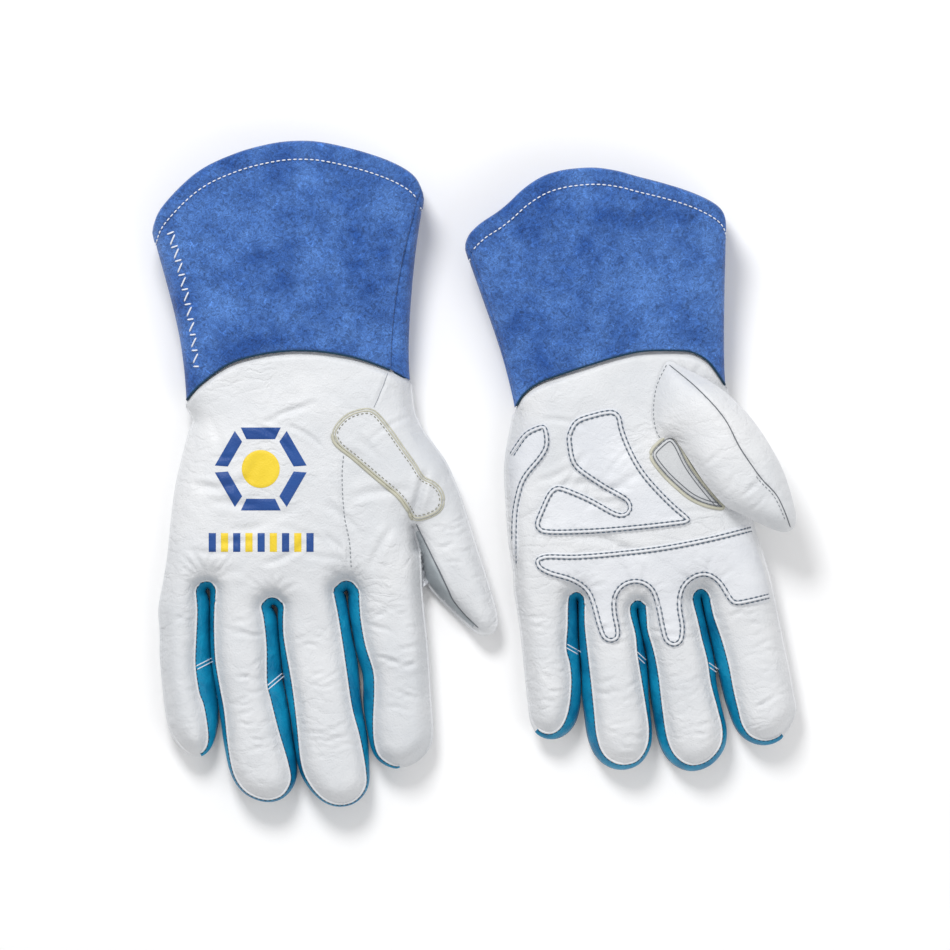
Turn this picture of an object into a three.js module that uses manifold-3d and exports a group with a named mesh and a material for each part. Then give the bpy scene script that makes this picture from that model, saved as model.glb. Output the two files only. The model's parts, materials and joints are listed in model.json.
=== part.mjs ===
// A pair of leather welding gauntlet gloves lying flat, fingers towards -Y and cuffs towards +Y.
// The right glove lies back up; the left glove lies palm up. Millimetres, +Z up.
// Every leather panel is a thin shell: back and palm panels, finger side strips (fourchettes),
// crotch gussets, the thumb patch with its welt, palm pads and two-piece gauntlet cuffs.
import * as THREE from 'three';
import { mergeVertices } from 'three/addons/utils/BufferGeometryUtils.js';
import Module from 'manifold-3d';

const wasm = await Module();
wasm.setup();

// Leather and clearances.
const LEATHER = 1.8;
const SEAM_GAP = 0.3;
const PAD_THICKNESS = 1.4;
const PAD_EDGE_HEIGHT = 10;
const WELT_WIDTH = 2;

// Hand body.
const HAND_HALF_HEIGHT = 13;
const EDGE_ROUND = 8;
const EDGE_STRAIGHT = 8;
const EDGE_STEPS = 2;
const OUTLINE_POINTS = 36;

// Finger stalls.
const FINGER_HALF_HEIGHT = 12;
const STRIP_HALF_HEIGHT = 5.5;
const HINGE_FROM_ROOT = 10;
const STALL_BEHIND_HINGE = 1.5;
const STUB_BEFORE_HINGE = 4.2;
const STUB_LENGTH = 26;
const THUMB_CLEARANCE = 1.2;
const ROUND_SEGMENTS = 14;
const TIP_STEPS = 3;

// Gauntlet cuffs.
const WRIST_GAP = 6.2;
const CUFF_WRIST_HALF_HEIGHT = 14;
const CUFF_MOUTH_HALF_HEIGHT = 23;
const CUFF_WAIST = 0.05;
const CUFF_SEGMENTS = 22;
const CUFF_STEPS = 3;
const CUFF_OVERLAP = 9;
const CUFF_MEAN_HALF_WIDTH = 55;
const CUFF_SQUARENESS = 0.8;

const BIG = 400;

// ---------------------------------------------------------------- materials

function leather(color, roughness) {
  return () => new THREE.MeshStandardMaterial({ color, roughness, metalness: 0 });
}
const whiteGrain = leather(0xeeeff2, 0.55);
const tealGrain = leather(0x0a7daf, 0.5);
const blueSuede = leather(0x3e64b6, 0.95);
const creamWelt = leather(0xe2e0ce, 0.6);

// ---------------------------------------------------------------- solids

// A closed geometry as a manifold solid that faces outwards.
function solidOf(geometry) {
  const bare = geometry.clone();
  bare.deleteAttribute('normal');
  bare.deleteAttribute('uv');
  const merged = mergeVertices(bare, 1e-4);
  return new wasm.Manifold(new wasm.Mesh({
    numProp: 3,
    vertProperties: merged.attributes.position.array,
    triVerts: new Uint32Array(merged.index.array),
  }));
}

function geometryOf(solid) {
  const mesh = solid.getMesh();
  const geometry = new THREE.BufferGeometry();
  geometry.setAttribute('position', new THREE.BufferAttribute(mesh.vertProperties, 3));
  geometry.setIndex(new THREE.BufferAttribute(mesh.triVerts, 1));
  geometry.computeVertexNormals();
  return geometry;
}

// A cut can leave crumbs: a piece is the largest body of its solid.
function largestBody(solid) {
  return solid.decompose().reduce((a, b) => (b.volume() > a.volume() ? b : a));
}

function piece(name, solid, material) {
  const mesh = new THREE.Mesh(geometryOf(largestBody(solid)), material());
  mesh.name = name;
  return mesh;
}

function warp(geometry, move) {
  const position = geometry.attributes.position;
  const point = new THREE.Vector3();
  for (let i = 0; i < position.count; i += 1) {
    point.fromBufferAttribute(position, i);
    move(point);
    position.setXYZ(i, point.x, point.y, point.z);
  }
  return geometry;
}

function block(xLow, xHigh, yLow, yHigh, zLow, zHigh) {
  const geometry = new THREE.BoxGeometry(xHigh - xLow, yHigh - yLow, zHigh - zLow);
  return solidOf(geometry.translate((xLow + xHigh) / 2, (yLow + yHigh) / 2, (zLow + zHigh) / 2));
}

// A plan outline raised between two heights.
function prism(outline, zLow, zHigh) {
  const shape = new THREE.Shape(outline);
  const geometry = new THREE.ExtrudeGeometry(shape, { depth: zHigh - zLow, bevelEnabled: false });
  return solidOf(geometry.translate(0, 0, zLow));
}

function above(z) {
  return block(-BIG, BIG, -BIG, BIG, z, BIG);
}

function below(z) {
  return block(-BIG, BIG, -BIG, BIG, -BIG, z);
}

function points(list) {
  return list.map(([x, y]) => new THREE.Vector2(x, y));
}

function smooth(list, closed, count) {
  const curve = new THREE.CatmullRomCurve3(list.map(([x, y]) => new THREE.Vector3(x, y, 0)), closed);
  const spaced = curve.getSpacedPoints(count);
  if (closed) spaced.pop();
  return spaced.map((p) => new THREE.Vector2(p.x, p.y));
}

// ---------------------------------------------------------------- finger stalls

// One half-section of a stall, turned about its long axis: a straight shaft with a rounded tip
// at -length. The section is an ellipse that tapers from the root to the tip.
function stall(finger, inset, rootY) {
  const end = finger.length - inset;
  const tipRound = Math.min(finger.tipWidth * 0.55, end * 0.5);
  const profile = [];
  for (let step = 0; step <= TIP_STEPS; step += 1) {
    const angle = (Math.PI / 2) * (step / TIP_STEPS);
    profile.push(new THREE.Vector2(Math.sin(angle), -end + tipRound * (1 - Math.cos(angle))));
  }
  profile[0].x = 0;
  profile.push(new THREE.Vector2(1, rootY));
  profile.push(new THREE.Vector2(0, rootY));
  return warp(new THREE.LatheGeometry(profile, ROUND_SEGMENTS), (p) => {
    const along = THREE.MathUtils.clamp(-p.y / finger.length, -1, 1);
    const width = THREE.MathUtils.lerp(finger.rootWidth, finger.tipWidth, along);
    p.x *= width / 2 - inset;
    p.z *= finger.halfHeight - inset;
  });
}

// The short tube on the hand that a stall continues.
function stub(finger, inset) {
  const near = STUB_BEFORE_HINGE - (inset > 0 ? 2 : 0);
  const far = STUB_BEFORE_HINGE + finger.stubLength - inset;
  const profile = [
    new THREE.Vector2(0, near),
    new THREE.Vector2(1, near),
    new THREE.Vector2(1, far),
    new THREE.Vector2(0, far),
  ];
  const tube = warp(new THREE.LatheGeometry(profile, ROUND_SEGMENTS), (p) => {
    p.x *= finger.rootWidth / 2 - inset;
    p.z = p.z * (finger.stubHalfHeight - inset) + finger.stubLift;
  });
  return tube.applyMatrix4(finger.group.matrix);
}

// A finger's own frame: origin on the hinge line, -Y towards the tip.
function placeFinger(glove, plan) {
  const root = new THREE.Vector2(...plan.root);
  const tip = new THREE.Vector2(...plan.tip);
  const direction = tip.clone().sub(root).normalize();
  const hinge = root.clone().addScaledVector(direction, plan.hingeFromRoot ?? HINGE_FROM_ROOT);
  const halfHeight = plan.halfHeight ?? FINGER_HALF_HEIGHT;
  const resting = glove.restSide * (HAND_HALF_HEIGHT - halfHeight);
  const group = new THREE.Group();
  group.position.set(hinge.x, hinge.y, plan.centreZ ?? resting);
  group.rotation.z = Math.atan2(direction.y, direction.x) + Math.PI / 2;
  group.updateMatrix();
  return {
    ...plan,
    group,
    halfHeight,
    length: tip.distanceTo(hinge),
    stubHalfHeight: plan.stubHalfHeight ?? halfHeight,
    stubLength: plan.stubLength ?? STUB_LENGTH,
    stubLift: plan.stubLift ?? 0,
  };
}

// Back shell, palm shell and the side strips between neighbouring fingers.
function buildFinger(glove, finger) {
  const shell = solidOf(stall(finger, 0, -STALL_BEHIND_HINGE))
    .subtract(solidOf(stall(finger, LEATHER, 10)));
  const label = `${glove.name}_${finger.name}`;
  let rest = shell;
  for (const strip of finger.strips) {
    const low = strip.side > 0 ? SEAM_GAP / 2 : -BIG;
    const high = strip.side > 0 ? BIG : -SEAM_GAP / 2;
    const body = block(low, high, -BIG, BIG, -STRIP_HALF_HEIGHT, STRIP_HALF_HEIGHT);
    const edge = STRIP_HALF_HEIGHT + SEAM_GAP;
    const room = block(low - SEAM_GAP, high + SEAM_GAP, -BIG, BIG, -edge, edge);
    finger.group.add(piece(`${label}_${strip.name}`, shell.intersect(body), tealGrain));
    rest = rest.subtract(room);
  }
  const half = SEAM_GAP / 2;
  finger.group.add(piece(`${label}_back_leather`, rest.intersect(above(half)), whiteGrain));
  finger.group.add(piece(`${label}_palm_leather`, rest.intersect(below(-half)), whiteGrain));
  return finger.group;
}

// ---------------------------------------------------------------- hand

// The flattened hand between wrist and finger crotches, grown or shrunk by a distance.
function slab(glove, grow) {
  const shape = new THREE.Shape(smooth(glove.handOutline, true, OUTLINE_POINTS));
  const depth = 2 * (HAND_HALF_HEIGHT + grow) - 2 * (HAND_HALF_HEIGHT - EDGE_STRAIGHT / 2);
  const geometry = new THREE.ExtrudeGeometry(shape, {
    depth,
    bevelSize: EDGE_ROUND,
    bevelThickness: HAND_HALF_HEIGHT - EDGE_STRAIGHT / 2,
    bevelOffset: grow - EDGE_ROUND,
    bevelSegments: EDGE_STEPS,
  });
  return solidOf(geometry.translate(0, 0, -depth / 2));
}

function handSolid(glove, grow) {
  let solid = slab(glove, grow);
  for (const finger of glove.placed) solid = solid.add(solidOf(stub(finger, -grow)));
  return solid;
}

// Everything beyond the wrist seam, kept clear of the hand.
function beyondWrist(glove) {
  const seam = smooth(glove.wristSeam, false, 16).map((p) => new THREE.Vector2(p.x, p.y - WRIST_GAP));
  const outline = [
    ...seam,
    new THREE.Vector2(BIG, seam[seam.length - 1].y - 4),
    new THREE.Vector2(BIG, BIG),
    new THREE.Vector2(-BIG, BIG),
    new THREE.Vector2(-BIG, seam[0].y - 4),
  ];
  return prism(outline, -BIG, BIG);
}

// The space the thumb's stall keeps clear of the hand.
function thumbRoom(thumb) {
  const side = thumb.rootWidth / 2 + THUMB_CLEARANCE;
  const height = thumb.halfHeight + THUMB_CLEARANCE / 2;
  const geometry = new THREE.BoxGeometry(2 * side, thumb.length, 2 * height);
  geometry.translate(0, STUB_BEFORE_HINGE - thumb.length / 2, 0);
  return solidOf(geometry.applyMatrix4(thumb.group.matrix));
}

// The region round one finger crotch: between two finger axes, from the stub ends to behind
// the crotch.
function crotchRegion(first, second, grow) {
  const corner = (finger, y) => {
    const p = new THREE.Vector3(0, y, 0).applyMatrix4(finger.group.matrix);
    return new THREE.Vector2(p.x, p.y);
  };
  const outline = [
    corner(first, -1),
    corner(second, -1),
    corner(second, STUB_LENGTH - 2 + grow),
    corner(first, STUB_LENGTH - 2 + grow),
  ];
  const height = STRIP_HALF_HEIGHT + grow;
  return prism(outline, -height + first.group.position.z, height + first.group.position.z);
}

// A band of even width that follows an open seam line.
function seamBand(line, width) {
  const left = [];
  const right = [];
  line.forEach((p, i) => {
    const before = line[Math.max(i - 1, 0)];
    const after = line[Math.min(i + 1, line.length - 1)];
    const normal = after.clone().sub(before).normalize().rotateAround(new THREE.Vector2(), Math.PI / 2);
    left.push(p.clone().addScaledVector(normal, width / 2));
    right.unshift(p.clone().addScaledVector(normal, -width / 2));
  });
  return [...left, ...right];
}

function buildHand(glove) {
  const group = new THREE.Group();
  const shell = handSolid(glove, 0)
    .subtract(handSolid(glove, -LEATHER))
    .subtract(beyondWrist(glove))
    .subtract(thumbRoom(glove.placed[4]));
  const half = SEAM_GAP / 2;
  let rest = shell;

  for (let i = 0; i < 3; i += 1) {
    const [first, second] = [glove.placed[i], glove.placed[i + 1]];
    const gusset = shell.intersect(crotchRegion(first, second, 0));
    const name = `${glove.name}_crotch_gusset_${first.name}_${second.name}`;
    group.add(piece(name, gusset, tealGrain));
    rest = rest.subtract(crotchRegion(first, second, SEAM_GAP));
  }

  // Thumb patch, let into the back panel, with a cream welt in its lower seam.
  const patchLine = smooth(glove.patchSeam, false, 10);
  const patchTop = smooth(glove.patchTop, false, 12);
  const low = HAND_HALF_HEIGHT / 2;
  const roomLow = low - SEAM_GAP;
  const patch = prism([...patchLine, ...patchTop], low, BIG);
  const weltBand = prism(seamBand(patchLine, WELT_WIDTH), low, BIG);
  const weltRoom = prism(seamBand(patchLine, WELT_WIDTH + 2 * SEAM_GAP), roomLow, BIG);
  const edgeRoom = seamBand([patchLine[patchLine.length - 1], ...patchTop, patchLine[0]], 2 * SEAM_GAP);
  const patchRoom = prism([...patchLine, ...patchTop], roomLow, BIG)
    .add(weltRoom)
    .add(prism(edgeRoom, roomLow, BIG));
  group.add(piece(`${glove.name}_thumb_patch`, shell.intersect(patch).subtract(weltRoom), whiteGrain));
  group.add(piece(`${glove.name}_thumb_welt`, shell.intersect(weltBand), creamWelt));
  rest = rest.subtract(patchRoom);

  group.add(piece(`${glove.name}_back_panel`, rest.intersect(above(half)), whiteGrain));
  group.add(piece(`${glove.name}_palm_panel`, rest.intersect(below(-half)), whiteGrain));

  // Stitched palm pads that follow the palm's surface.
  const layer = handSolid(glove, SEAM_GAP + PAD_THICKNESS).subtract(handSolid(glove, SEAM_GAP));
  for (const [name, outline] of Object.entries(glove.pads)) {
    const pad = prism(smooth(outline, true, Math.round(outline.length * 1.5)), -BIG, -PAD_EDGE_HEIGHT)
      .intersect(layer)
      .subtract(thumbRoom(glove.placed[4]))
      .subtract(solidOf(stub(glove.placed[4], -1)));
    group.add(piece(`${glove.name}_palm_pad_${name}`, pad, whiteGrain));
  }
  return group;
}

// ---------------------------------------------------------------- cuff

// A flattened tube from the wrist seam to the mouth; both edges follow their own plan curves.
function cuffTube(glove, inset, over) {
  const curveOf = (list) => new THREE.CatmullRomCurve3(list.map(([x, y]) => new THREE.Vector3(x, y, 0)));
  const wrist = curveOf(glove.wristSeam);
  const mouth = curveOf(glove.mouthEdge);
  const profile = [new THREE.Vector2(0, -over)];
  for (let step = 0; step <= CUFF_STEPS; step += 1) {
    const along = step / CUFF_STEPS;
    profile.push(new THREE.Vector2(1, along + (step === 0 ? -over : 0) + (step === CUFF_STEPS ? over : 0)));
  }
  profile.push(new THREE.Vector2(0, 1 + over));
  return warp(new THREE.LatheGeometry(profile, CUFF_SEGMENTS), (p) => {
    const along = p.y;
    const radius = Math.hypot(p.x, p.z);
    const sine = radius > 0 ? p.z / radius : 0;
    const cosine = radius > 0 ? p.x / radius : 0;
    const halfHeight = THREE.MathUtils.lerp(CUFF_WRIST_HALF_HEIGHT, CUFF_MOUTH_HALF_HEIGHT, along);
    const waist = 1 - CUFF_WAIST * Math.sin(Math.PI * THREE.MathUtils.clamp(along, 0, 1));
    const across = cosine * radius * waist * (1 - inset / CUFF_MEAN_HALF_WIDTH);
    const low = wrist.getPoint((across + 1) / 2);
    const high = mouth.getPoint((across + 1) / 2);
    const flat = Math.sign(sine) * Math.abs(sine) ** CUFF_SQUARENESS * radius;
    p.x = THREE.MathUtils.lerp(low.x, high.x, along);
    p.y = THREE.MathUtils.lerp(low.y, high.y, along);
    p.z = flat * (halfHeight - inset) + glove.restSide * (glove.restLevel - halfHeight);
  });
}

function buildCuff(glove) {
  const group = new THREE.Group();
  const tube = solidOf(cuffTube(glove, 0, 0)).subtract(solidOf(cuffTube(glove, LEATHER, 0.1)));
  const [wristLeft, wristRight] = [glove.wristSeam[0], glove.wristSeam.at(-1)];
  const [mouthLeft, mouthRight] = [glove.mouthEdge[0], glove.mouthEdge.at(-1)];
  const middle = glove.restSide * (glove.restLevel - CUFF_WRIST_HALF_HEIGHT);
  // The back panel covers the back up to a line near the thumb edge, and wraps the other edge
  // onto the palm side; the palm panel does the opposite.
  const region = (grow) => {
    const thumbLine = CUFF_OVERLAP - grow;
    const onBack = [
      [wristRight[0] - thumbLine, -BIG],
      [wristRight[0] - thumbLine, wristRight[1]],
      [mouthRight[0] - thumbLine, mouthRight[1]],
      [mouthRight[0] - thumbLine, BIG],
      [-BIG, BIG],
      [-BIG, -BIG],
    ];
    const littleLine = CUFF_OVERLAP + grow;
    const onPalm = [
      [wristLeft[0] + littleLine, -BIG],
      [wristLeft[0] + littleLine, wristLeft[1]],
      [mouthLeft[0] + littleLine, mouthLeft[1]],
      [mouthLeft[0] + littleLine, BIG],
      [-BIG, BIG],
      [-BIG, -BIG],
    ];
    return prism(points(onBack).reverse(), middle - grow, BIG)
      .add(prism(points(onPalm).reverse(), -BIG, middle + SEAM_GAP));
  };
  const back = tube.intersect(region(0));
  const palm = tube.subtract(region(SEAM_GAP));
  group.add(piece(`${glove.name}_cuff_back_panel`, back, blueSuede));
  group.add(piece(`${glove.name}_cuff_palm_panel`, palm, blueSuede));
  return group;
}

// ---------------------------------------------------------------- one glove

const FOURCHETTES = {
  little: [{ name: 'fourchette', side: 1 }],
  ring: [{ name: 'fourchette_little_side', side: -1 }, { name: 'fourchette_middle_side', side: 1 }],
  middle: [{ name: 'fourchette_ring_side', side: -1 }, { name: 'fourchette_index_side', side: 1 }],
  index: [{ name: 'fourchette', side: -1 }],
  thumb: [],
};

function buildGlove(glove) {
  glove.placed = Object.entries(glove.fingers)
    .map(([name, plan]) => placeFinger(glove, { name, strips: FOURCHETTES[name], ...plan }));
  const group = new THREE.Group();
  group.add(buildHand(glove));
  group.add(buildCuff(glove));
  for (const finger of glove.placed) group.add(buildFinger(glove, finger));
  return group;
}

// Plan lines that both gloves share are drawn on the right glove; the left glove is cut to the
// same pattern, a little narrower and leaning.
const RIGHT_MIDDLE_CROTCH = { x: -100.2, y: -60.8 };
const LEFT_MIDDLE_CROTCH_X = 80.7;
const LEFT_SHEAR = -0.19;
const LEFT_NARROWER = 0.92;
const LEFT_DROP = 3.8;
function toLeftPlan(list) {
  return list.map(([x, y]) => [
    LEFT_MIDDLE_CROTCH_X + LEFT_NARROWER * (x - RIGHT_MIDDLE_CROTCH.x)
      + LEFT_SHEAR * (y - RIGHT_MIDDLE_CROTCH.y),
    y - LEFT_DROP,
  ]);
}

// The palm pads, in the right glove's plan.
const PADS = {
  edge: [[-144, 15], [-136, 26], [-125, 29], [-121, 25], [-120, 17], [-124, 9], [-136, -4],
    [-142, -18], [-146, -42], [-149, -28], [-147, -4]],
  heel: [[-113, 22], [-109, 31], [-88, 37], [-82, 30], [-80, 20], [-71, 3], [-55, -12], [-49, -20],
    [-60, -23], [-100, -27], [-129, -26], [-136, -22], [-131, -10], [-124, -1], [-115, -2],
    [-92, -14], [-86, -13], [-93, -5], [-107, 5], [-112, 12]],
  knuckle: [[-38, -24], [-70, -30], [-108, -34], [-132, -36], [-137, -41], [-134, -49],
    [-120, -54], [-113, -61], [-96, -61], [-90, -55], [-78, -60], [-72, -58], [-62, -48],
    [-50, -50], [-38, -50], [-32, -44], [-33, -30]],
};

const rightGlove = {
  name: 'right',
  restSide: -1,
  restLevel: HAND_HALF_HEIGHT + SEAM_GAP + PAD_THICKNESS,
  handOutline: [
    [-146, 75], [-144.5, 35], [-141, 22], [-145, 8], [-151, -24], [-155.5, -50], [-148, -57],
    [-134, -54], [-117, -60], [-100, -61], [-82, -60], [-64, -54], [-45, -56], [-30, -50],
    [-27, -34], [-17, -23], [-11, -9], [-15, 5], [-24, 20], [-31, 36], [-32, 75],
  ],
  wristSeam: [[-144.5, 37.5], [-129.3, 52], [-105.3, 61], [-84, 62.5], [-62.3, 59.6], [-42.7, 52], [-32, 44]],
  mouthEdge: [[-161, 121], [-145, 145], [-119.7, 159], [-85, 165.3], [-52.7, 159], [-33, 149.5], [-25.5, 137]],
  patchSeam: [[-71, 19], [-60.4, 7.8], [-49.7, -1.4], [-39, -10.5], [-33, -19], [-30.5, -26]],
  patchTop: [
    [-26, -24], [-16, -20], [-14.5, -12], [-17.5, -6], [-25, 0],
    [-33, 12.5], [-42, 23], [-50, 32], [-60, 32], [-68, 26],
  ],
  fingers: {
    little: { root: [-147, -57], tip: [-141, -140.4], rootWidth: 25, tipWidth: 25 },
    ring: { root: [-117.5, -62.5], tip: [-106.5, -162.5], rootWidth: 31, tipWidth: 32 },
    middle: { root: [-82.5, -62.5], tip: [-68, -164.8], rootWidth: 32, tipWidth: 32 },
    index: { root: [-43, -57.5], tip: [-37.5, -145.5], rootWidth: 31, tipWidth: 32 },
    thumb: {
      root: [-17, -16], tip: [4, -79.4], rootWidth: 30, tipWidth: 23, halfHeight: 11, hingeFromRoot: 9,
    },
  },
  pads: PADS,
};

const leftGlove = {
  name: 'left',
  restSide: 1,
  restLevel: HAND_HALF_HEIGHT,
  handOutline: [
    [18, 75], [19.5, 35], [17, 20], [16, -10], [18.5, -38], [21, -55], [30, -62], [50, -58.5],
    [66, -62.5], [81, -63], [98, -62.5], [114, -58], [132, -60], [147, -52], [143, -36],
    [137, -14], [131, 15], [126, 40], [125, 75],
  ],
  wristSeam: [[19.9, 33.6], [31.9, 46.5], [56.9, 55.3], [84.5, 62.3], [103, 62.5], [117, 56.7], [125.2, 43]],
  mouthEdge: [[-4.5, 110], [8, 128], [31, 146], [59.5, 152.2], [84.5, 147.8], [112, 139], [126, 124]],
  patchSeam: toLeftPlan([[-71, 19], [-60.4, 7.8], [-49.7, -1.4], [-39, -10.5], [-36, -14]]),
  patchTop: toLeftPlan([
    [-31, -8], [-30, 0], [-36, 12.5], [-42, 23], [-50, 32], [-60, 32], [-68, 26],
  ]),
  fingers: {
    little: { root: [35, -62.5], tip: [38.5, -129.3], rootWidth: 25, tipWidth: 26 },
    ring: { root: [67.2, -65], tip: [73, -148.5], rootWidth: 30, tipWidth: 31 },
    middle: { root: [99.2, -65], tip: [111, -150], rootWidth: 30.5, tipWidth: 32 },
    index: { root: [133, -60], tip: [146.5, -133], rootWidth: 30, tipWidth: 31.5 },
    thumb: {
      root: [97, 38],
      tip: [158.5, -27.5],
      rootWidth: 38,
      tipWidth: 25,
      halfHeight: 9.5,
      centreZ: -24.9,
      hingeFromRoot: 24,
      stubLength: 20,
      stubHalfHeight: 12.5,
      stubLift: 3.2,
    },
  },
  pads: Object.fromEntries(Object.entries(PADS).map(([name, outline]) => [name, toLeftPlan(outline)])),
};

// ---------------------------------------------------------------- the pair

const pair = new THREE.Group();
pair.add(buildGlove(rightGlove));
const leftGroup = buildGlove(leftGlove);
leftGroup.scale.z = -1;
pair.add(leftGroup);
pair.children[0].position.z = rightGlove.restLevel;
leftGroup.position.z = leftGlove.restLevel;

// The origin is the middle of the pair's footprint, on the surface it lies on.
pair.updateMatrixWorld(true);
const box = new THREE.Box3().setFromObject(pair, true);
pair.position.set(-(box.min.x + box.max.x) / 2, -(box.min.y + box.max.y) / 2, -box.min.z);

export default pair;
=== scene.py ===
import json
import math
import random

import bpy
import numpy as np
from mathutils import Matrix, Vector, noise
from mathutils.bvhtree import BVHTree
from mathutils.geometry import delaunay_2d_cdt


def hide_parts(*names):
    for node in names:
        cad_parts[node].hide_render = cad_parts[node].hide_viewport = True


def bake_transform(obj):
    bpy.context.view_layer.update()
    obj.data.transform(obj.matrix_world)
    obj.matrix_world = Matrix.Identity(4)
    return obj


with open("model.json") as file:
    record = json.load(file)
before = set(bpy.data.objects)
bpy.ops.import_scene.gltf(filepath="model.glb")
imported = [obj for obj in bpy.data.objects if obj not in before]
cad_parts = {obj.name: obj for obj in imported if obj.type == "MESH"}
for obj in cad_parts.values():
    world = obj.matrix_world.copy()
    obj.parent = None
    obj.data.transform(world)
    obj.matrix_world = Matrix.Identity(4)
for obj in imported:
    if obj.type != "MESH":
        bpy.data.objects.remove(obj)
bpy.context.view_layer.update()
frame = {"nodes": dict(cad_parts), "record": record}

# A pair of leather gauntlet welding gloves: the right one lies back up, the left one palm up.
# All shapes below are worked out in plan millimetres (x, y) with z above the surface they lie on,
# and put() turns them into the frame's metres.

MM = 0.001
JOINTS = {joint["name"]: joint for joint in frame["record"]["behaviour"]["joints"]}

# The right wrist hinge stands at (-90, 50) in the plan, which ties the plan to the frame.
PLAN_SHIFT = np.array(JOINTS["right_wrist_bend"]["pos_m"][:2]) - np.array((-90.0, 50.0)) * MM

GRID = 1.25      # spacing of panel vertices
LEATHER = 1.6
CUFF_WRIST_HALF = 14.0
CUFF_MOUTH_HALF = 22.6
HAND_CENTRE = 14.0
FINGER_CENTRE = 12.2
HAND_TOP = 27.4
FINGER_TOP = 23.6
FLOOR_CLEAR = 0.9
STALL_SHOULDER, HAND_SHOULDER = 10.0, 21.0      # how far in from its seam the leather has risen
PAD_FILL = 0.2
PAD_ROWS, PAD_RIDGE = (1.3, 3.4), 2.35  # stitch rows and the ridge between them, in from a pad's edge
RIDGE_LIFT, RIDGE_PRESSED = 0.12, -0.25
UNDERSIDE = 2.0                         # height of the leather the glove lies on, over its pads
BAND_HALF = 4.2                         # half the height of a fourchette
BAND_THIN = 0.7                         # the same where back and palm leather meet
TEAL_FROM = 1.7                         # a band is teal where half its height is more than this
SPLIT_BEFORE_HINGE = 11.5
BLEND_REACH = 12.0
WRIST_BLEND = (36.0, 64.0)
TUCK = 9.0                              # how far the hand leather runs inside the cuff


# ------------------------------------------------------------------ small geometry helpers

def arr(points):
    return np.array(points, float)


def catmull(points, step=1.2, closed=False):
    """A smooth curve through the points, sampled about every step millimetres."""
    p = arr(points)
    if closed:
        p = np.vstack([p[-1], p, p[0], p[1]])
    else:
        p = np.vstack([2 * p[0] - p[1], p, 2 * p[-1] - p[-2]])
    out = []
    for i in range(1, len(p) - 2):
        a, b, c, d = p[i - 1], p[i], p[i + 1], p[i + 2]
        count = max(2, int(np.linalg.norm(c - b) / step))
        for k in range(count):
            t = k / count
            out.append(0.5 * (2 * b + (c - a) * t + (2 * a - 5 * b + 4 * c - d) * t * t
                              + (3 * b - a - 3 * c + d) * t ** 3))
    if not closed:
        out.append(p[-2])
    return arr(out)


def lengths(points, closed=False):
    p = np.vstack([points, points[:1]]) if closed else points
    return np.concatenate([[0], np.cumsum(np.linalg.norm(np.diff(p, axis=0), axis=1))])


def resample(points, count, closed=False):
    """The curve again with an exact number of evenly spaced points."""
    run = lengths(points, closed)
    at = np.linspace(0, run[-1], count, endpoint=not closed)
    if closed:
        points = np.vstack([points, points[:1]])
    return np.stack([np.interp(at, run, points[:, k]) for k in range(points.shape[1])], axis=1)


def resample_ring(ring, step=1.25):
    return resample(ring, int(lengths(ring, closed=True)[-1] / step), closed=True)


def smoothstep(x):
    x = np.clip(x, 0, 1)
    return x * x * (3 - 2 * x)


def unit(rows):
    """Each row scaled to length one."""
    return rows / np.maximum(np.linalg.norm(rows, axis=-1, keepdims=True), 1e-9)


def shoulder(distance, reach):
    """A quarter circle's height: 0 at an edge, and 1 from reach inwards."""
    return np.sqrt(np.clip(1 - (1 - np.clip(distance / reach, 0, 1)) ** 2, 0, 1))


def round_ring(ring, rounds):
    """Smooths a closed ring."""
    for _ in range(rounds):
        ring = (np.roll(ring, 1, axis=0) + 2 * ring + np.roll(ring, -1, axis=0)) / 4
    return ring


def segment_distance(p, a, b):
    """Distance from each point to the nearest of the segments a-b, and how far along it is."""
    best = np.full(len(p), 1e9)
    where = np.zeros(len(p))
    total = len(a)
    for i in range(total):
        d = b[i] - a[i]
        t = np.clip(((p - a[i]) @ d) / max(d @ d, 1e-9), 0, 1)
        q = np.hypot(p[:, 0] - a[i, 0] - t * d[0], p[:, 1] - a[i, 1] - t * d[1])
        closer = q < best
        best[closer] = q[closer]
        where[closer] = (i + t[closer]) / total
    return best, where


def inside(p, ring):
    x, y = p[:, 0], p[:, 1]
    found = np.zeros(len(p), bool)
    for (x0, y0), (x1, y1) in zip(ring, np.roll(ring, -1, axis=0)):
        crosses = (y0 > y) != (y1 > y)
        with np.errstate(divide="ignore", invalid="ignore"):
            at = (x1 - x0) * (y - y0) / (y1 - y0) + x0
        found ^= crosses & (x < at)
    return found


def outward(ring, closed=True):
    """Unit normals of a counter-clockwise or clockwise ring, pointing out of it."""
    before, after = np.roll(ring, 1, axis=0), np.roll(ring, -1, axis=0)
    if not closed:
        before[0], after[-1] = ring[0], ring[-1]
    t = after - before
    n = unit(np.stack([t[:, 1], -t[:, 0]], axis=1))
    x, y = ring[:, 0], ring[:, 1]
    area = 0.5 * np.sum(x * np.roll(y, -1) - np.roll(x, -1) * y)
    return n if area > 0 else -n


def noise_at(points, scale, seed=0.0):
    """Smooth noise from -1 to 1 at plan or space points."""
    return np.array([noise.noise(Vector((q[0] / scale + seed, q[1] / scale, seed))) for q in points])


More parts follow.
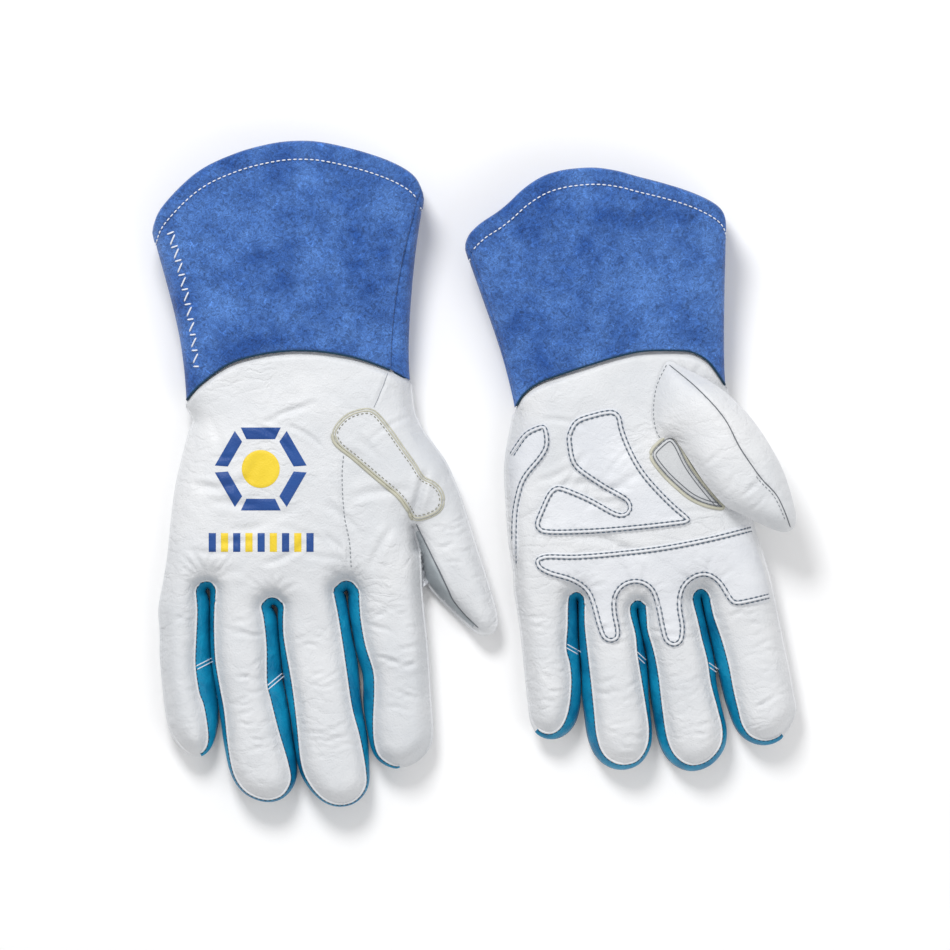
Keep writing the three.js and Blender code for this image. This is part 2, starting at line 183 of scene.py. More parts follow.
def triangulate(ring, spacing):
    """A plan outline filled with an even triangle mesh. The outline's points come first."""
    low, high = ring.min(axis=0), ring.max(axis=0)
    rows = np.arange(low[1], high[1], spacing * math.sqrt(3) / 2)
    grid = []
    for k, y in enumerate(rows):
        x = np.arange(low[0] + (k % 2) * spacing / 2, high[0], spacing)
        grid.append(np.stack([x, np.full(len(x), y)], axis=1))
    grid = np.vstack(grid)
    grid = grid[inside(grid, ring)]
    a, b = ring, np.roll(ring, -1, axis=0)
    keep = np.ones(len(grid), bool)
    for start in range(0, len(grid), 4000):
        part = slice(start, start + 4000)
        keep[part] = segment_distance(grid[part], a, b)[0] > spacing * 0.55
    points = np.vstack([ring, grid[keep]])
    count = len(ring)
    edges = [(i, (i + 1) % count) for i in range(count)]
    made = delaunay_2d_cdt([Vector(q) for q in points], edges, [list(range(count))], 1, 1e-5)
    verts = arr([tuple(v) for v in made[0]])
    faces = np.array([f for f in made[2] if len(f) == 3])
    v0, v1, v2 = (verts[faces[:, k]] for k in range(3))
    turn = (v1[:, 0] - v0[:, 0]) * (v2[:, 1] - v0[:, 1]) - (v1[:, 1] - v0[:, 1]) * (v2[:, 0] - v0[:, 0])
    faces[turn < 0] = faces[turn < 0][:, ::-1]
    return verts, faces


def relax(values, faces, fixed, rounds):
    """Laplacian smoothing of one value per vertex."""
    edges = np.vstack([faces[:, [0, 1]], faces[:, [1, 2]], faces[:, [2, 0]]])
    edges = np.unique(np.sort(edges, axis=1), axis=0)
    degree = np.bincount(edges.ravel(), minlength=len(values)).astype(float)
    for _ in range(rounds):
        total = np.bincount(edges[:, 0], weights=values[edges[:, 1]], minlength=len(values))
        total += np.bincount(edges[:, 1], weights=values[edges[:, 0]], minlength=len(values))
        mean = total / np.maximum(degree, 1)
        values = np.where(fixed, values, values + 0.6 * (mean - values))
    return values


def vertex_normals(verts, faces):
    v = verts[faces[:, :3]]
    n = np.cross(v[:, 1] - v[:, 0], v[:, 2] - v[:, 0])
    out = np.zeros_like(verts)
    for k in range(faces.shape[1]):
        np.add.at(out, faces[:, k], n)
    return out / np.maximum(np.linalg.norm(out, axis=1, keepdims=True), 1e-12)


# ------------------------------------------------------------------ materials

def node(tree, kind, **values):
    made = tree.nodes.new(kind)
    for key, value in values.items():
        if key in made.inputs:
            made.inputs[key].default_value = value
        else:
            setattr(made, key, value)
    return made


def material(name, base, second, mottle_scale, mottle, roughness, grain, grain_depth,
             crinkle=0.0, sheen=0.0, fibre=0.0, wrinkle=0.0, nap=0.0):
    """A procedural leather: colour mottling, pebbled grain, crinkles and a net of fine wrinkles."""
    made = bpy.data.materials.new(name)
    made.use_nodes = True
    tree = made.node_tree
    link = tree.links.new
    shader = tree.nodes["Principled BSDF"]
    for key, value in (("Roughness", roughness), ("Sheen Weight", sheen), ("Specular IOR Level", 0.35)):
        shader.inputs[key].default_value = value
    place = node(tree, "ShaderNodeTexCoord").outputs["Object"]

    def texture(kind, where=place, output="Fac", **values):
        found = node(tree, f"ShaderNodeTex{kind}", **values)
        link(where, found.inputs["Vector"])
        return found.outputs[output]

    def ranged(source, low, high, first=0.0, last=1.0):
        found = node(tree, "ShaderNodeMapRange",
                     **{"From Min": low, "From Max": high, "To Min": first, "To Max": last})
        link(source, found.inputs["Value"])
        return found.outputs["Result"]

    def bump(height, strength, distance, over=None, masked_by=None):
        found = node(tree, "ShaderNodeBump", Strength=strength, Distance=distance)
        link(height, found.inputs["Height"])
        if over:
            link(over, found.inputs["Normal"])
        if masked_by:
            link(masked_by, found.inputs["Strength"])
        return found.outputs["Normal"]

    ramp = node(tree, "ShaderNodeValToRGB")
    for stop, sign, shade in zip(ramp.color_ramp.elements, (-1, 1), (second, base)):
        stop.position = 0.5 + sign * mottle
        stop.color = (*shade, 1)
    link(texture("Noise", Scale=mottle_scale, Detail=6.0, Roughness=0.62), ramp.inputs["Fac"])
    colour = ramp.outputs["Color"]
    if nap:
        # Suede: short curling strokes of lighter and darker pile, and pale worn patches.
        curl = texture("Noise", Scale=480.0, Detail=5.0, Roughness=0.75, Distortion=1.6)
        scuff = texture("Noise", Scale=95.0, Detail=4.0, Roughness=0.7, Distortion=3.0)
        for pile in (ranged(curl, 0.36, 0.64, 1 - nap, 1 + nap), ranged(scuff, 0.58, 0.74, 1.0, 1.7)):
            brush = node(tree, "ShaderNodeVectorMath", operation="SCALE")
            link(colour, brush.inputs["Vector"])
            link(pile, brush.inputs["Scale"])
            colour = brush.outputs["Vector"]
    link(colour, shader.inputs["Base Color"])
    normal = bump(texture("Voronoi", output="Distance", Scale=grain), grain_depth, 0.0004)
    if crinkle:
        folds = texture("Noise", Scale=140.0, Detail=5.0, Roughness=0.6, Distortion=0.8)
        normal = bump(folds, crinkle, 0.0012, normal)
    if wrinkle:
        # A net of wrinkles: cell borders, wandering and stretched, that show only in patches.
        drift = node(tree, "ShaderNodeVectorMath", operation="MULTIPLY_ADD")
        drift.inputs[1].default_value = (0.02, 0.02, 0.02)
        link(texture("Noise", output="Color", Scale=38.0, Detail=4.0, Roughness=0.6), drift.inputs[0])
        link(place, drift.inputs[2])
        stretch = node(tree, "ShaderNodeMapping", Scale=(1.0, 2.4, 1.0), Rotation=(0.0, 0.0, 0.12))
        link(drift.outputs["Vector"], stretch.inputs["Vector"])
        cells = texture("Voronoi", stretch.outputs["Vector"], "Distance",
                        feature="DISTANCE_TO_EDGE", Scale=74.0)
        keep = node(tree, "ShaderNodeMath", operation="MULTIPLY")
        link(ranged(texture("Noise", Scale=26.0, Detail=2.0), 0.44, 0.62), keep.inputs[0])
        keep.inputs[1].default_value = wrinkle
        normal = bump(ranged(cells, 0.0, 0.2), 0.0, 0.0009, normal, keep.outputs["Value"])
    if fibre:
        normal = bump(texture("Noise", Scale=1500.0, Detail=3.0, Roughness=0.7), fibre, 0.0006, normal)
    link(normal, shader.inputs["Normal"])
    return made


def linear(r, g, b):
    """An 8-bit screen colour as linear values."""
    def one(c):
        c /= 255
        return c / 12.92 if c <= 0.04045 else ((c + 0.055) / 1.055) ** 2.4
    return one(r), one(g), one(b)


def leather(name, light, dark, *rest, **more):
    return material(name, linear(*light), linear(*dark), *rest, **more)


WHITE = leather("white_grain_leather", (221, 222, 224), (203, 206, 210), 18.0, 0.2, 0.5, 1150.0, 0.35,
                crinkle=0.55, wrinkle=0.3)
PAD_WHITE = leather("palm_pad_leather", (222, 224, 228), (206, 209, 215), 22.0, 0.2, 0.48, 1200.0, 0.3,
                    crinkle=0.45, wrinkle=0.2)
# Painted shade: the grey of the right thumb's inner side, which slopes away from the light.
SHADE_GREY = leather("thumb_side_leather", (178, 184, 188), (150, 158, 163), 40.0, 0.2, 0.5, 1200.0, 0.3,
                     crinkle=0.5)
# Painted shadow: the keystone's leather is greyed to stand for the shadow of the folded thumb beside it.
KEYSTONE_PAINTED_SHADOW = leather("keystone_leather", (198, 200, 202), (180, 183, 187), 22.0, 0.2, 0.5, 1200.0, 0.3,
                   crinkle=0.5)
TEAL = leather("teal_leather", (20, 150, 190), (2, 96, 140), 60.0, 0.2, 0.34, 1300.0, 0.25, crinkle=0.7)
SUEDE = leather("blue_suede", (76, 118, 185), (34, 75, 143), 40.0, 0.15, 0.96, 900.0, 0.25,
                crinkle=0.6, sheen=0.2, fibre=0.6, nap=0.5)
CREAM = leather("cream_welt", (200, 198, 182), (176, 175, 158), 60.0, 0.2, 0.55, 1500.0, 0.25)
# The navy colour is navy stitching thread, and also painted shade: cords along the cuffs' wrist edges and
# along the hidden seams.
THREAD_COLOURS = {"slate": ((96, 114, 132), (66, 82, 100)), "grey": ((150, 154, 160), (118, 124, 130)),
                  "olive": ((158, 156, 138), (128, 126, 110)), "navy": ((20, 66, 92), (8, 44, 66)),
                  "white": ((236, 240, 248), (212, 218, 230))}
THREAD = {name: leather(f"{name}_thread", *shades, 900.0, 0.3, 0.75, 2600.0, 0.5)
          for name, shades in THREAD_COLOURS.items()}
SEAM_DARK = leather("deep_seam_shadow", (118, 122, 128), (92, 96, 102), 300.0, 0.3, 0.8, 2600.0, 0.5)
SEAM_GREY = leather("seam_shadow", (172, 175, 181), (140, 144, 151), 300.0, 0.3, 0.8, 2600.0, 0.5)
PRINT_BLUE = leather("blue_print", (34, 80, 150), (24, 62, 128), 60.0, 0.3, 0.5, 1150.0, 0.3)
PRINT_GOLD = leather("gold_print", (236, 208, 60), (222, 192, 40), 60.0, 0.3, 0.5, 1150.0, 0.3)


# ------------------------------------------------------------------ pieces

def put(name, verts, faces, look, slot, blend, normals=None, padded=None):
    """A mesh piece from plan millimetres, moved into the frame's metres."""
    points = np.array(verts, float) * MM
    points[:, :2] += PLAN_SHIFT
    mesh = bpy.data.meshes.new(name)
    mesh.from_pydata(points.tolist(), [], [list(map(int, f)) for f in faces])
    mesh.materials.append(look)
    mesh.shade_smooth()
    if normals is not None:
        mesh.normals_split_custom_set_from_vertices(normals.tolist())
    mesh.update()
    piece = bpy.data.objects.new(name, mesh)
    bpy.context.scene.collection.objects.link(piece)
    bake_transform(piece)
    return piece


def tube_mesh(path, radius, sides):
    """A round cord along a 3-D path, closed at both ends."""
    path = arr(path)
    t = unit(np.gradient(path, axis=0))
    side = unit(np.cross(t, (0.0, 0.0, 1.0)))
    up = np.cross(side, t)
    radii = np.full(len(path), radius)
    radii[0] = radii[-1] = radius * 0.5
    angles = (np.arange(sides) * 2 * math.pi / sides)[None, :, None]
    spokes = np.cos(angles) * side[:, None, :] + np.sin(angles) * up[:, None, :]
    rings = path[:, None, :] + radii[:, None, None] * spokes
    verts = rings.reshape(-1, 3)
    faces = []
    for i in range(len(path) - 1):
        for k in range(sides):
            n = (k + 1) % sides
            faces.append((i * sides + k, i * sides + n, (i + 1) * sides + n, (i + 1) * sides + k))
    faces.append(tuple(range(sides))[::-1])
    faces.append(tuple(range((len(path) - 1) * sides, len(path) * sides)))
    return verts, faces


def join(meshes):
    verts, faces, shift = [], [], 0
    for v, f in meshes:
        verts.append(v)
        faces.extend(tuple(int(i) + shift for i in face) for face in f)
        shift += len(v)
    return np.vstack(verts), faces


def stitch_mesh(path, length, gap, radius, sink):
    """Thread stitches along a 3-D path: each one is a short arch that dives in at both ends."""
    run = lengths(path)
    made = []
    at = gap / 2
    while at + length < run[-1]:
        s = np.linspace(at, at + length, 6)
        p = np.stack([np.interp(s, run, path[:, k]) for k in range(3)], axis=1)
        u = np.linspace(0, 1, 6)
        p[:, 2] += radius * 0.8 - sink * (2 * u - 1) ** 4
        made.append(tube_mesh(p, radius, 6))
        at += length + gap
    return join(made)


# ------------------------------------------------------------------ glove plans

LEFT_FROM_RIGHT = (80.7, 0.92, -0.19, -3.8)


def to_left(points):
    x0, narrow, shear, drop = LEFT_FROM_RIGHT
    p = arr(points)
    return np.stack([x0 + narrow * (p[:, 0] + 100.2) + shear * (p[:, 1] + 60.8), p[:, 1] + drop], axis=1)


def to_right(points):
    x0, narrow, shear, drop = LEFT_FROM_RIGHT
    p = arr(points)
    y = p[:, 1] - drop
    return np.stack([(p[:, 0] - x0 - shear * (y + 60.8)) / narrow - 100.2, y], axis=1)


RIGHT = {
    "name": "right",
    "wrist": [(-144.5, 37.5), (-138.8, 44.3), (-129.3, 52), (-119.7, 57.3), (-105.3, 61), (-91, 62.5),
              (-76.7, 62), (-62.3, 59.6), (-52.7, 56.8), (-42.7, 53), (-32.5, 47.5)],
    "mouth": [(-161.2, 120.9), (-156, 132.5), (-138.8, 149.5), (-119.7, 159), (-100.5, 164.2),
              (-85.3, 165.4), (-71.9, 163.9), (-52.7, 159), (-38.4, 153.4), (-29.5, 147), (-25.5, 138)],
    "left_edge": [(-144.5, 35.5), (-140.5, 27), (-142.6, 21.5), (-145.3, 11), (-149.2, -6), (-151.5, -24),
                  (-153, -39.5), (-155.3, -54)],
    "crotches": [(-134.2, -52.7), (-101.5, -60.7), (-64.4, -52.3)],
    "fingers": {
        "little": [(-155.3, -54), (-157.6, -67), (-156.9, -80), (-156.8, -93), (-153.8, -121),
                   (-150.7, -130), (-144.8, -137.5), (-139, -139.6), (-134.8, -136), (-134, -129),
                   (-136, -116), (-138.5, -108.5), (-140.3, -95), (-140, -82.5), (-139.4, -68),
                   (-140.1, -57.6), (-138.5, -54.9), (-136.7, -53.2), (-134.2, -52.7)],
        "ring": [(-134.2, -52.7), (-131.9, -53.2), (-130.4, -54.9), (-129.2, -57.6), (-129.8, -66),
                 (-130, -78), (-129.3, -93), (-127, -107), (-125, -118), (-123, -136), (-120, -150),
                 (-114, -158.4), (-104.8, -162), (-97, -160), (-92.8, -153), (-94, -144), (-98.7, -128),
                 (-102.5, -113), (-104.5, -104), (-104.8, -85.5), (-106.2, -72), (-107.5, -65.6),
                 (-105.9, -63), (-103.9, -61.2), (-101.5, -60.7)],
        "middle": [(-101.5, -60.7), (-99.1, -61.2), (-97, -63), (-95.3, -65.6), (-95.5, -72),
                   (-95.3, -80), (-94, -88.5), (-91, -105.5), (-88.7, -124), (-86.5, -144),
                   (-82.6, -154), (-75.7, -161.8), (-68, -164.5), (-60.4, -162.6), (-55.3, -156),
                   (-55.2, -147), (-58, -131.5), (-62, -116), (-64.7, -98), (-66.5, -85.5), (-69, -70),
                   (-71.2, -58), (-69.3, -54.9), (-67, -52.9), (-64.4, -52.3)],
        "index": [(-64.4, -52.3), (-61.8, -52.9), (-59.6, -54.9), (-57.6, -58.5), (-57.4, -63),
                  (-56.6, -73), (-54.3, -85.5), (-50.5, -98), (-49.9, -108.5), (-50.5, -124),
                  (-49.7, -135), (-46.6, -141.5), (-39, -145.3), (-29.8, -143), (-23.3, -136),
                  (-21.8, -127), (-22.9, -108.5), (-24.4, -85.5), (-26, -70), (-27.3, -57)],
    },
    "axes": {"little": ((-147, -57), (-141, -140.4)), "ring": ((-117.5, -62.5), (-106.5, -162.5)),
             "middle": ((-82.5, -62.5), (-68, -164.8)), "index": ((-43, -57.5), (-37.5, -145.5)),
             "thumb": ((-17, -16), (4, -79.4))},
    "right_edge": [(-27.3, -57), (-28, -40), (-29.8, -32), (-31.5, -25.5)],
    "thumb": [(-31.5, -25.5), (-30, -29), (-27.4, -38), (-25.4, -50), (-20.6, -58), (-11.5, -67.3),
              (-4, -74.2), (0.5, -78), (4.7, -79.4), (8.5, -78.4), (10.6, -74.5), (9.8, -67),
              (5.5, -52), (0.9, -38), (-3.8, -23), (-8.4, -9)],
    "thumb_edge": [(-8.4, -9), (-14.5, 5), (-20.6, 14), (-26, 21.6), (-30.5, 31), (-32, 41.5),
                   (-32.5, 47.5)],
    "half": {"little": 13, "ring": 17, "middle": 16, "index": 16.5, "thumb": 15},
    "lap": (0.38, 0.60, math.pi + 0.45, math.pi + 0.45),
    "waist": 0.07,
}
LEFT = {
    "name": "left",
    "wrist": [(19.9, 33.6), (24.5, 41), (31.9, 46.5), (43, 50.7), (56.9, 55.3), (70.8, 59.5),
              (84.5, 62.3), (103, 62.5), (110.5, 61), (117.5, 56.2), (125.3, 45)],
    "mouth": [(-4.9, 112.4), (-3.2, 118.3), (3, 124.5), (10.8, 129.6), (17, 134.6), (23.9, 141.2),
              (32.4, 147), (40.2, 150), (49.5, 151.6), (60.3, 152), (71.2, 150.4), (80.5, 147.8),
              (92.9, 144.6), (105.3, 140.8), (114.6, 137), (121.6, 132.8), (124.8, 128.2),
              (125.4, 123.6)],
    "left_edge": [(19.9, 31), (16.5, 13), (15.4, 2), (16, -11.5), (17.5, -33), (19.7, -47), (20.4, -58)],
    "crotches": [(50.7, -58.1), (81.4, -62.3), (113, -56.5)],
    "fingers": {
        "little": [(20.4, -58), (22.2, -70), (24, -83), (25.5, -97.5), (27, -112), (28.6, -122),
                   (32.5, -127.6), (38, -129), (43, -125.6), (46.3, -117.5), (47.7, -104.7),
                   (47, -94.7), (45.2, -87), (45.8, -76), (46, -66), (46.4, -61.4), (47.8, -59.4),
                   (49.1, -58.4), (50.7, -58)],
        "ring": [(50.7, -58), (52.3, -58.4), (53.6, -59.4), (55, -61.4), (55.3, -67), (55.5, -76),
                 (57, -90), (58.5, -103), (60, -117.5), (61.5, -131), (65, -139.8), (72, -144.2),
                 (80.2, -143), (85.3, -136.4), (86.5, -127.7), (85, -116), (82.9, -103), (80.8, -90),
                 (79.8, -80), (77.3, -70), (77.2, -65.4), (78.6, -63.6), (79.8, -62.6), (81.4, -62.2)],
        "middle": [(81.4, -62.2), (83, -62.6), (84.3, -63.6), (85.8, -65.4), (86.4, -71), (87, -78),
                   (90, -88.5), (92.2, -100), (94.3, -117.5), (96.7, -132), (101, -140.6),
                   (108, -144.6), (116, -142.6), (122, -136), (123.3, -128), (121, -117.5),
                   (117.6, -104.7), (115.8, -93), (113, -82), (111, -73), (108.7, -64), (108.7, -59.8),
                   (110, -57.9), (111.3, -56.8), (113, -56.4)],
        "index": [(113, -56.4), (114.7, -56.8), (116, -57.9), (117.4, -59.8), (118.6, -65), (120, -71),
                  (123.8, -82), (127.4, -95), (129.8, -107.5), (132.2, -117.5), (134.3, -125),
                  (138.4, -130.4), (145.3, -132.4), (152.3, -130), (158, -123.4), (160.2, -116.5),
                  (159, -110), (156.8, -97.5), (154, -84.5), (151.4, -71.7), (149, -60)],
    },
    "axes": {"little": ((35, -62.5), (38.5, -129.3)), "ring": ((67.2, -65), (73, -148.5)),
             "middle": ((99.2, -65), (111, -150)), "index": ((133, -60), (146.5, -133)),
             "thumb": ((97, 38), (158.5, -27.5))},
    "right_edge": [(149, -60), (146.7, -50), (143.6, -40), (139.5, -27.2), (137, -12), (133, 12),
                   (128.5, 32), (125.3, 45)],
    "thumb": None,
    "thumb_edge": None,
    "half": {"little": 13, "ring": 15.5, "middle": 16.5, "index": 16, "thumb": 19},
    "lap": (-0.45, -0.45, math.pi - 0.34, math.pi - 0.2),
    "waist": 0.045,
}
HINGE_FROM_ROOT = {("right", "thumb"): 9.0, ("left", "thumb"): 24.0}


class Finger:
    """A stall's axis in the plan, its hinge point and its body."""

    def __init__(self, glove, name):
        root, tip = (arr(p) for p in glove["axes"][name])
        self.name = name
        self.way = (tip - root) / np.linalg.norm(tip - root)
        self.side = arr((-self.way[1], self.way[0]))
        self.hinge = root + self.way * HINGE_FROM_ROOT.get((glove["name"], name), 10.0)
        self.half = glove["half"][name]
        self.body = f"{glove['name']}_{name}"
        self.hand = f"{glove['name']}_hand"

    def along(self, p):
        return (p[:, :2] - self.hinge) @ self.way

    def across(self, p):
        return (p[:, :2] - self.hinge) @ self.side

    def blend(self, z=FINGER_CENTRE):
        a = self.hinge - self.way * SPLIT_BEFORE_HINGE
        b = self.hinge + self.way * BLEND_REACH
        return (self.hand, self.body, (*a, z), (*b, z))


def wrist_blend(glove):
    side = glove["name"]
    x = -90 if side == "right" else 73
    start, end = ((x, y, HAND_CENTRE) for y in WRIST_BLEND)
    return f"{side}_hand", f"{side}_cuff", start, end


def zone_of(glove, points):
    """Which stall each plan point lies in: an index into glove['stalls'], or -1 for the hand."""
    zone = np.full(len(points), -1)
    best = np.full(len(points), 1.22)
    for k, finger in enumerate(glove["stalls"]):
        across = np.abs(finger.across(points)) / finger.half
        here = (finger.along(points) > -SPLIT_BEFORE_HINGE) & (across < best)
        zone[here] = k
        best[here] = across[here]
    return zone


def zone_home(glove, zone):
    """A zone's name, and its blend: two bodies and the points where it starts and ends."""
    if zone < 0:
        return "hand", wrist_blend(glove)
    return glove["stalls"][zone].name, glove["stalls"][zone].blend()


def put_zoned(glove, name, verts, faces, look, slot, padded=None):
    """One continuous skin, cut where the stalls begin, into one piece for each zone."""
    verts = np.asarray(verts)
    normals = vertex_normals(verts, np.array(faces))
    triangles = [tuple(f) for f in faces]
    centre = arr([verts[list(f), :2].mean(axis=0) for f in triangles])
    zone = zone_of(glove, centre)
    made = []
    for k in range(-1, len(glove["stalls"])):
        chosen = [f for f, z in zip(triangles, zone) if z == k]
        if not chosen:
            continue
        used = np.unique(np.concatenate([np.array(f) for f in chosen]))
        new = {int(old): i for i, old in enumerate(used)}
        part = [[new[int(i)] for i in f] for f in chosen]
        label, blend = zone_home(glove, k)
        made.append(put(f"{glove['name']}_{label}_{name}", verts[used], part, look, slot, blend,
                        normals[used], padded))
    return made


# ------------------------------------------------------------------ creases

def crease(verts, line, depth, width, ridge=0.45):
    """How much a fold along a plan line lowers or lifts each vertex."""
    line = arr(line)
    low, high = line.min(axis=0) - 4 * width, line.max(axis=0) + 4 * width
    near = np.all((verts[:, :2] > low) & (verts[:, :2] < high), axis=1)
    out = np.zeros(len(verts))
    if not near.any():
        return out
    distance, where = segment_distance(verts[near, :2], line[:-1], line[1:])
    fade = np.sin(np.pi * np.clip(where * 1.04 - 0.02, 0.0, 1.0)) ** 0.5
    groove = -depth * np.exp(-(distance / width) ** 2)
    lift = ridge * depth * np.exp(-((distance - 2.1 * width) / (1.1 * width)) ** 2)
    out[near] = (groove + lift) * fade
    return out


def finger_creases(glove, draw):
    """Soft folds across each stall, thickest near its finger joints."""
    out = []
    for finger in glove["stalls"]:
        reach = {"ring": 84, "middle": 84, "index": 66, "little": 62, "thumb": 40}[finger.name]
        joints = [0.06, 0.36, 0.66]
        for _ in range(int(reach / 2.4)):
            centre = draw.choice(joints) if draw.random() < 0.72 else draw.random()
            along = reach * centre + draw.uniform(-6, 6)
            start = draw.uniform(-0.95, 0.45) * finger.half
            length = draw.uniform(0.25, 0.95) * finger.half
            bow = draw.uniform(-1.8, 1.8)
            tilt = draw.uniform(-0.45, 0.45)
            line = []
            for t in np.linspace(0, 1, 7):
                a = start + t * length
                s = along + tilt * (a - start) + bow * math.sin(math.pi * t)
                line.append(finger.hinge + finger.way * s + finger.side * a)
            out.append((line, draw.uniform(0.25, 0.7), draw.uniform(0.6, 1.1)))
    return out


def hand_creases(glove, draw):
    """Puckers that fan out from each crotch, and long loose folds over the hand."""
    out = []
    for x, y in glove["crotches"]:
        for k in range(7):
            angle = math.radians(20 + 140 * (k + draw.uniform(-0.3, 0.3)) / 6)
            near, far = draw.uniform(2.5, 4), draw.uniform(9, 20)
            bend = draw.uniform(-0.25, 0.25)
            line = [(x + r * math.cos(angle + bend * r / 20), y + r * math.sin(angle + bend * r / 20))
                    for r in np.linspace(near, far, 6)]
            out.append((line, draw.uniform(0.45, 0.95), draw.uniform(0.7, 1.1)))
    left, right = min(p[0] for p in glove["wrist"]), max(p[0] for p in glove["wrist"])
    for _ in range(26):
        x = draw.uniform(left - 4, right - 10)
        y = draw.uniform(-50, 44)
        length = draw.uniform(14, 34)
        angle = draw.choice((draw.uniform(-0.5, 0.5), draw.uniform(-0.5, 0.5), draw.uniform(0.8, 2.2)))
        bend = draw.uniform(-0.5, 0.5)
        line = [(x + length * t * math.cos(angle + bend * t), y + length * t * math.sin(angle + bend * t))
                for t in np.linspace(0, 1, 8)]
        out.append((line, draw.uniform(0.4, 1.0), draw.uniform(0.9, 2.2)))
    return out


# ------------------------------------------------------------------ hand skins

def hand_outline(glove):
    """The visible leather's outline from wrist to wrist, with the stretch each point belongs to."""
    runs = [("left_edge", catmull(glove["left_edge"]))]
    for name, points in glove["fingers"].items():
        runs.append((name, catmull(points)))
    runs.append(("right_edge", catmull(glove["right_edge"])))
    if glove["thumb"] is not None:
        runs.append(("thumb", catmull(glove["thumb"])))
        runs.append(("thumb_edge", catmull(glove["thumb_edge"])))
    return runs


# How far the teal leather shows beside each stall's visible leather, round the stall from its
# left root over the tip to its right root: (share of the way, millimetres).
TEAL_SHOWN = {
    "right": {
        "little": [(0, 0), (0.46, 0), (0.54, 3), (0.61, 7.2), (0.7, 10.8), (0.8, 9), (0.92, 7), (1, 4.2)],
        "ring": [(0, 4.2), (0.07, 2.6), (0.3, 3), (0.42, 1.5), (0.5, 0.7), (0.56, 1.6), (0.65, 6),
                 (0.74, 9), (0.82, 8), (0.92, 8), (1, 4.2)],
        "middle": [(0, 4.2), (0.07, 3), (0.2, 4.5), (0.35, 2.3), (0.45, 0.9), (0.5, 0.6), (0.56, 1.4),
                   (0.65, 4.5), (0.8, 6.5), (0.93, 6), (1, 5.2)],
        "index": [(0, 5.2), (0.08, 6.5), (0.2, 6), (0.32, 6), (0.41, 2.8), (0.49, 1.5), (0.56, 0), (1, 0)],
    },
    "left": {
        "little": [(0, 0), (0.4, 0), (0.48, 3.5), (0.56, 6), (0.68, 5.8), (0.8, 7.3), (0.92, 5.8), (1, 4.2)],
        "ring": [(0, 4.2), (0.08, 3.6), (0.3, 5.8), (0.42, 5), (0.5, 3.8), (0.56, 2.4), (0.64, 1.4),
                 (0.72, 2.4), (0.82, 6.2), (0.93, 4.5), (1, 4.2)],
        "middle": [(0, 4.2), (0.08, 5.5), (0.3, 5.4), (0.42, 4.8), (0.5, 3.8), (0.56, 3), (0.66, 2.4),
                   (0.78, 4), (0.93, 6), (1, 4.2)],
        "index": [(0, 4.2), (0.08, 5.5), (0.25, 6.4), (0.38, 5.4), (0.48, 3.6), (0.56, 2.5), (0.62, 0),
                  (1, 0)],
    },
}


def gaps_beside(ring, normal, wanted):
    """For each ring point, how far its teal may reach before it meets the next stall's."""
    a, b = ring[:-1], ring[1:]
    count = len(ring)
    index = np.arange(count - 1)
    d = b - a
    room = np.full(count, 1e3)
    for i in np.nonzero(wanted > 0)[0]:
        n = normal[i]
        det = n[0] * -d[:, 1] + n[1] * d[:, 0]
        det = np.where(np.abs(det) < 1e-9, 1e-9, det)
        q = a - ring[i]
        far = (q[:, 0] * -d[:, 1] + q[:, 1] * d[:, 0]) / det
        u = (n[0] * q[:, 1] - n[1] * q[:, 0]) / det
        hit = (far > 0.2) & (u >= 0) & (u <= 1) & (np.abs(index - i) > 3)
        if hit.any():
            k = index[hit][np.argmin(far[hit])]
            gap = far[hit].min()
            share = wanted[i] / max(wanted[i] + wanted[k], 1e-6)
            room[i] = share * max(gap - 0.5, 0.1)
    return room


def soften(values, rounds):
    """Smooths numbers or points along an open run."""
    for _ in range(rounds):
        padded = np.concatenate([values[:1], values, values[-1:]])
        values = (padded[:-2] + 2 * padded[1:-1] + padded[2:]) / 4
    return values


def band_height(glove, name, t):
    """Half the height of the side band along one stretch."""
    tall = np.full(len(t), BAND_HALF)
    if name == "little":
        first = TEAL_SHOWN[glove["name"]][name][1][0]
        tall = BAND_THIN + (BAND_HALF - BAND_THIN) * smoothstep((t - first) / 0.14)
    elif name == "index":
        last = TEAL_SHOWN[glove["name"]][name][-2][0]
        tall = BAND_THIN + (BAND_HALF - BAND_THIN) * smoothstep((last - t) / 0.14)
    elif name not in ("ring", "middle"):
        tall = np.full(len(t), BAND_THIN)
    return tall


def centre_height(p):
    """Mid height of the glove: lower along the stalls than in the hand, and lower still along the
    inner side of the right thumb, which is rolled outwards."""
    height = FINGER_CENTRE + (HAND_CENTRE - FINGER_CENTRE) * smoothstep((p[:, 1] + 75) / 60)
    inner = (p[:, 0] + 29.4) * -0.858 + (p[:, 1] + 24.6) * -0.513
    gap = np.interp(-p[:, 1], [24, 40, 50, 57, 66, 85], [-33, -27.7, -26.6, -24.5, -20, -10])
    beside = smoothstep(inner / 7) * smoothstep((-24 - p[:, 1]) / 8) * (p[:, 0] > gap) * (p[:, 0] < 14)
    return height - 7.5 * beside * smoothstep((p[:, 0] + 34) / 5)


def build_rings(glove):
    """The seam round the visible leather, the seam round the hidden leather, and half the height
    between them."""
    visible, wanted, half = [], [], []
    for name, run in hand_outline(glove):
        t = np.linspace(0, 1, len(run))
        table = arr(TEAL_SHOWN[glove["name"]].get(name, [(0, 0), (1, 0)]))
        visible.append(run[:-1])
        wanted.append(np.interp(t, table[:, 0], table[:, 1])[:-1])
        half.append(band_height(glove, name, t)[:-1])
    visible, wanted, half = np.vstack(visible), np.concatenate(wanted), np.concatenate(half)
    normal = soften(outward(visible), 3)
    wanted = soften(np.minimum(wanted, gaps_beside(visible, normal, wanted)), 3)
    hidden = visible + normal * wanted[:, None]
    moved = soften(hidden, 6)
    keep = smoothstep(wanted / 1.5)[:, None]
    hidden = hidden + (moved - hidden) * keep
    return visible, hidden, soften(half, 4)


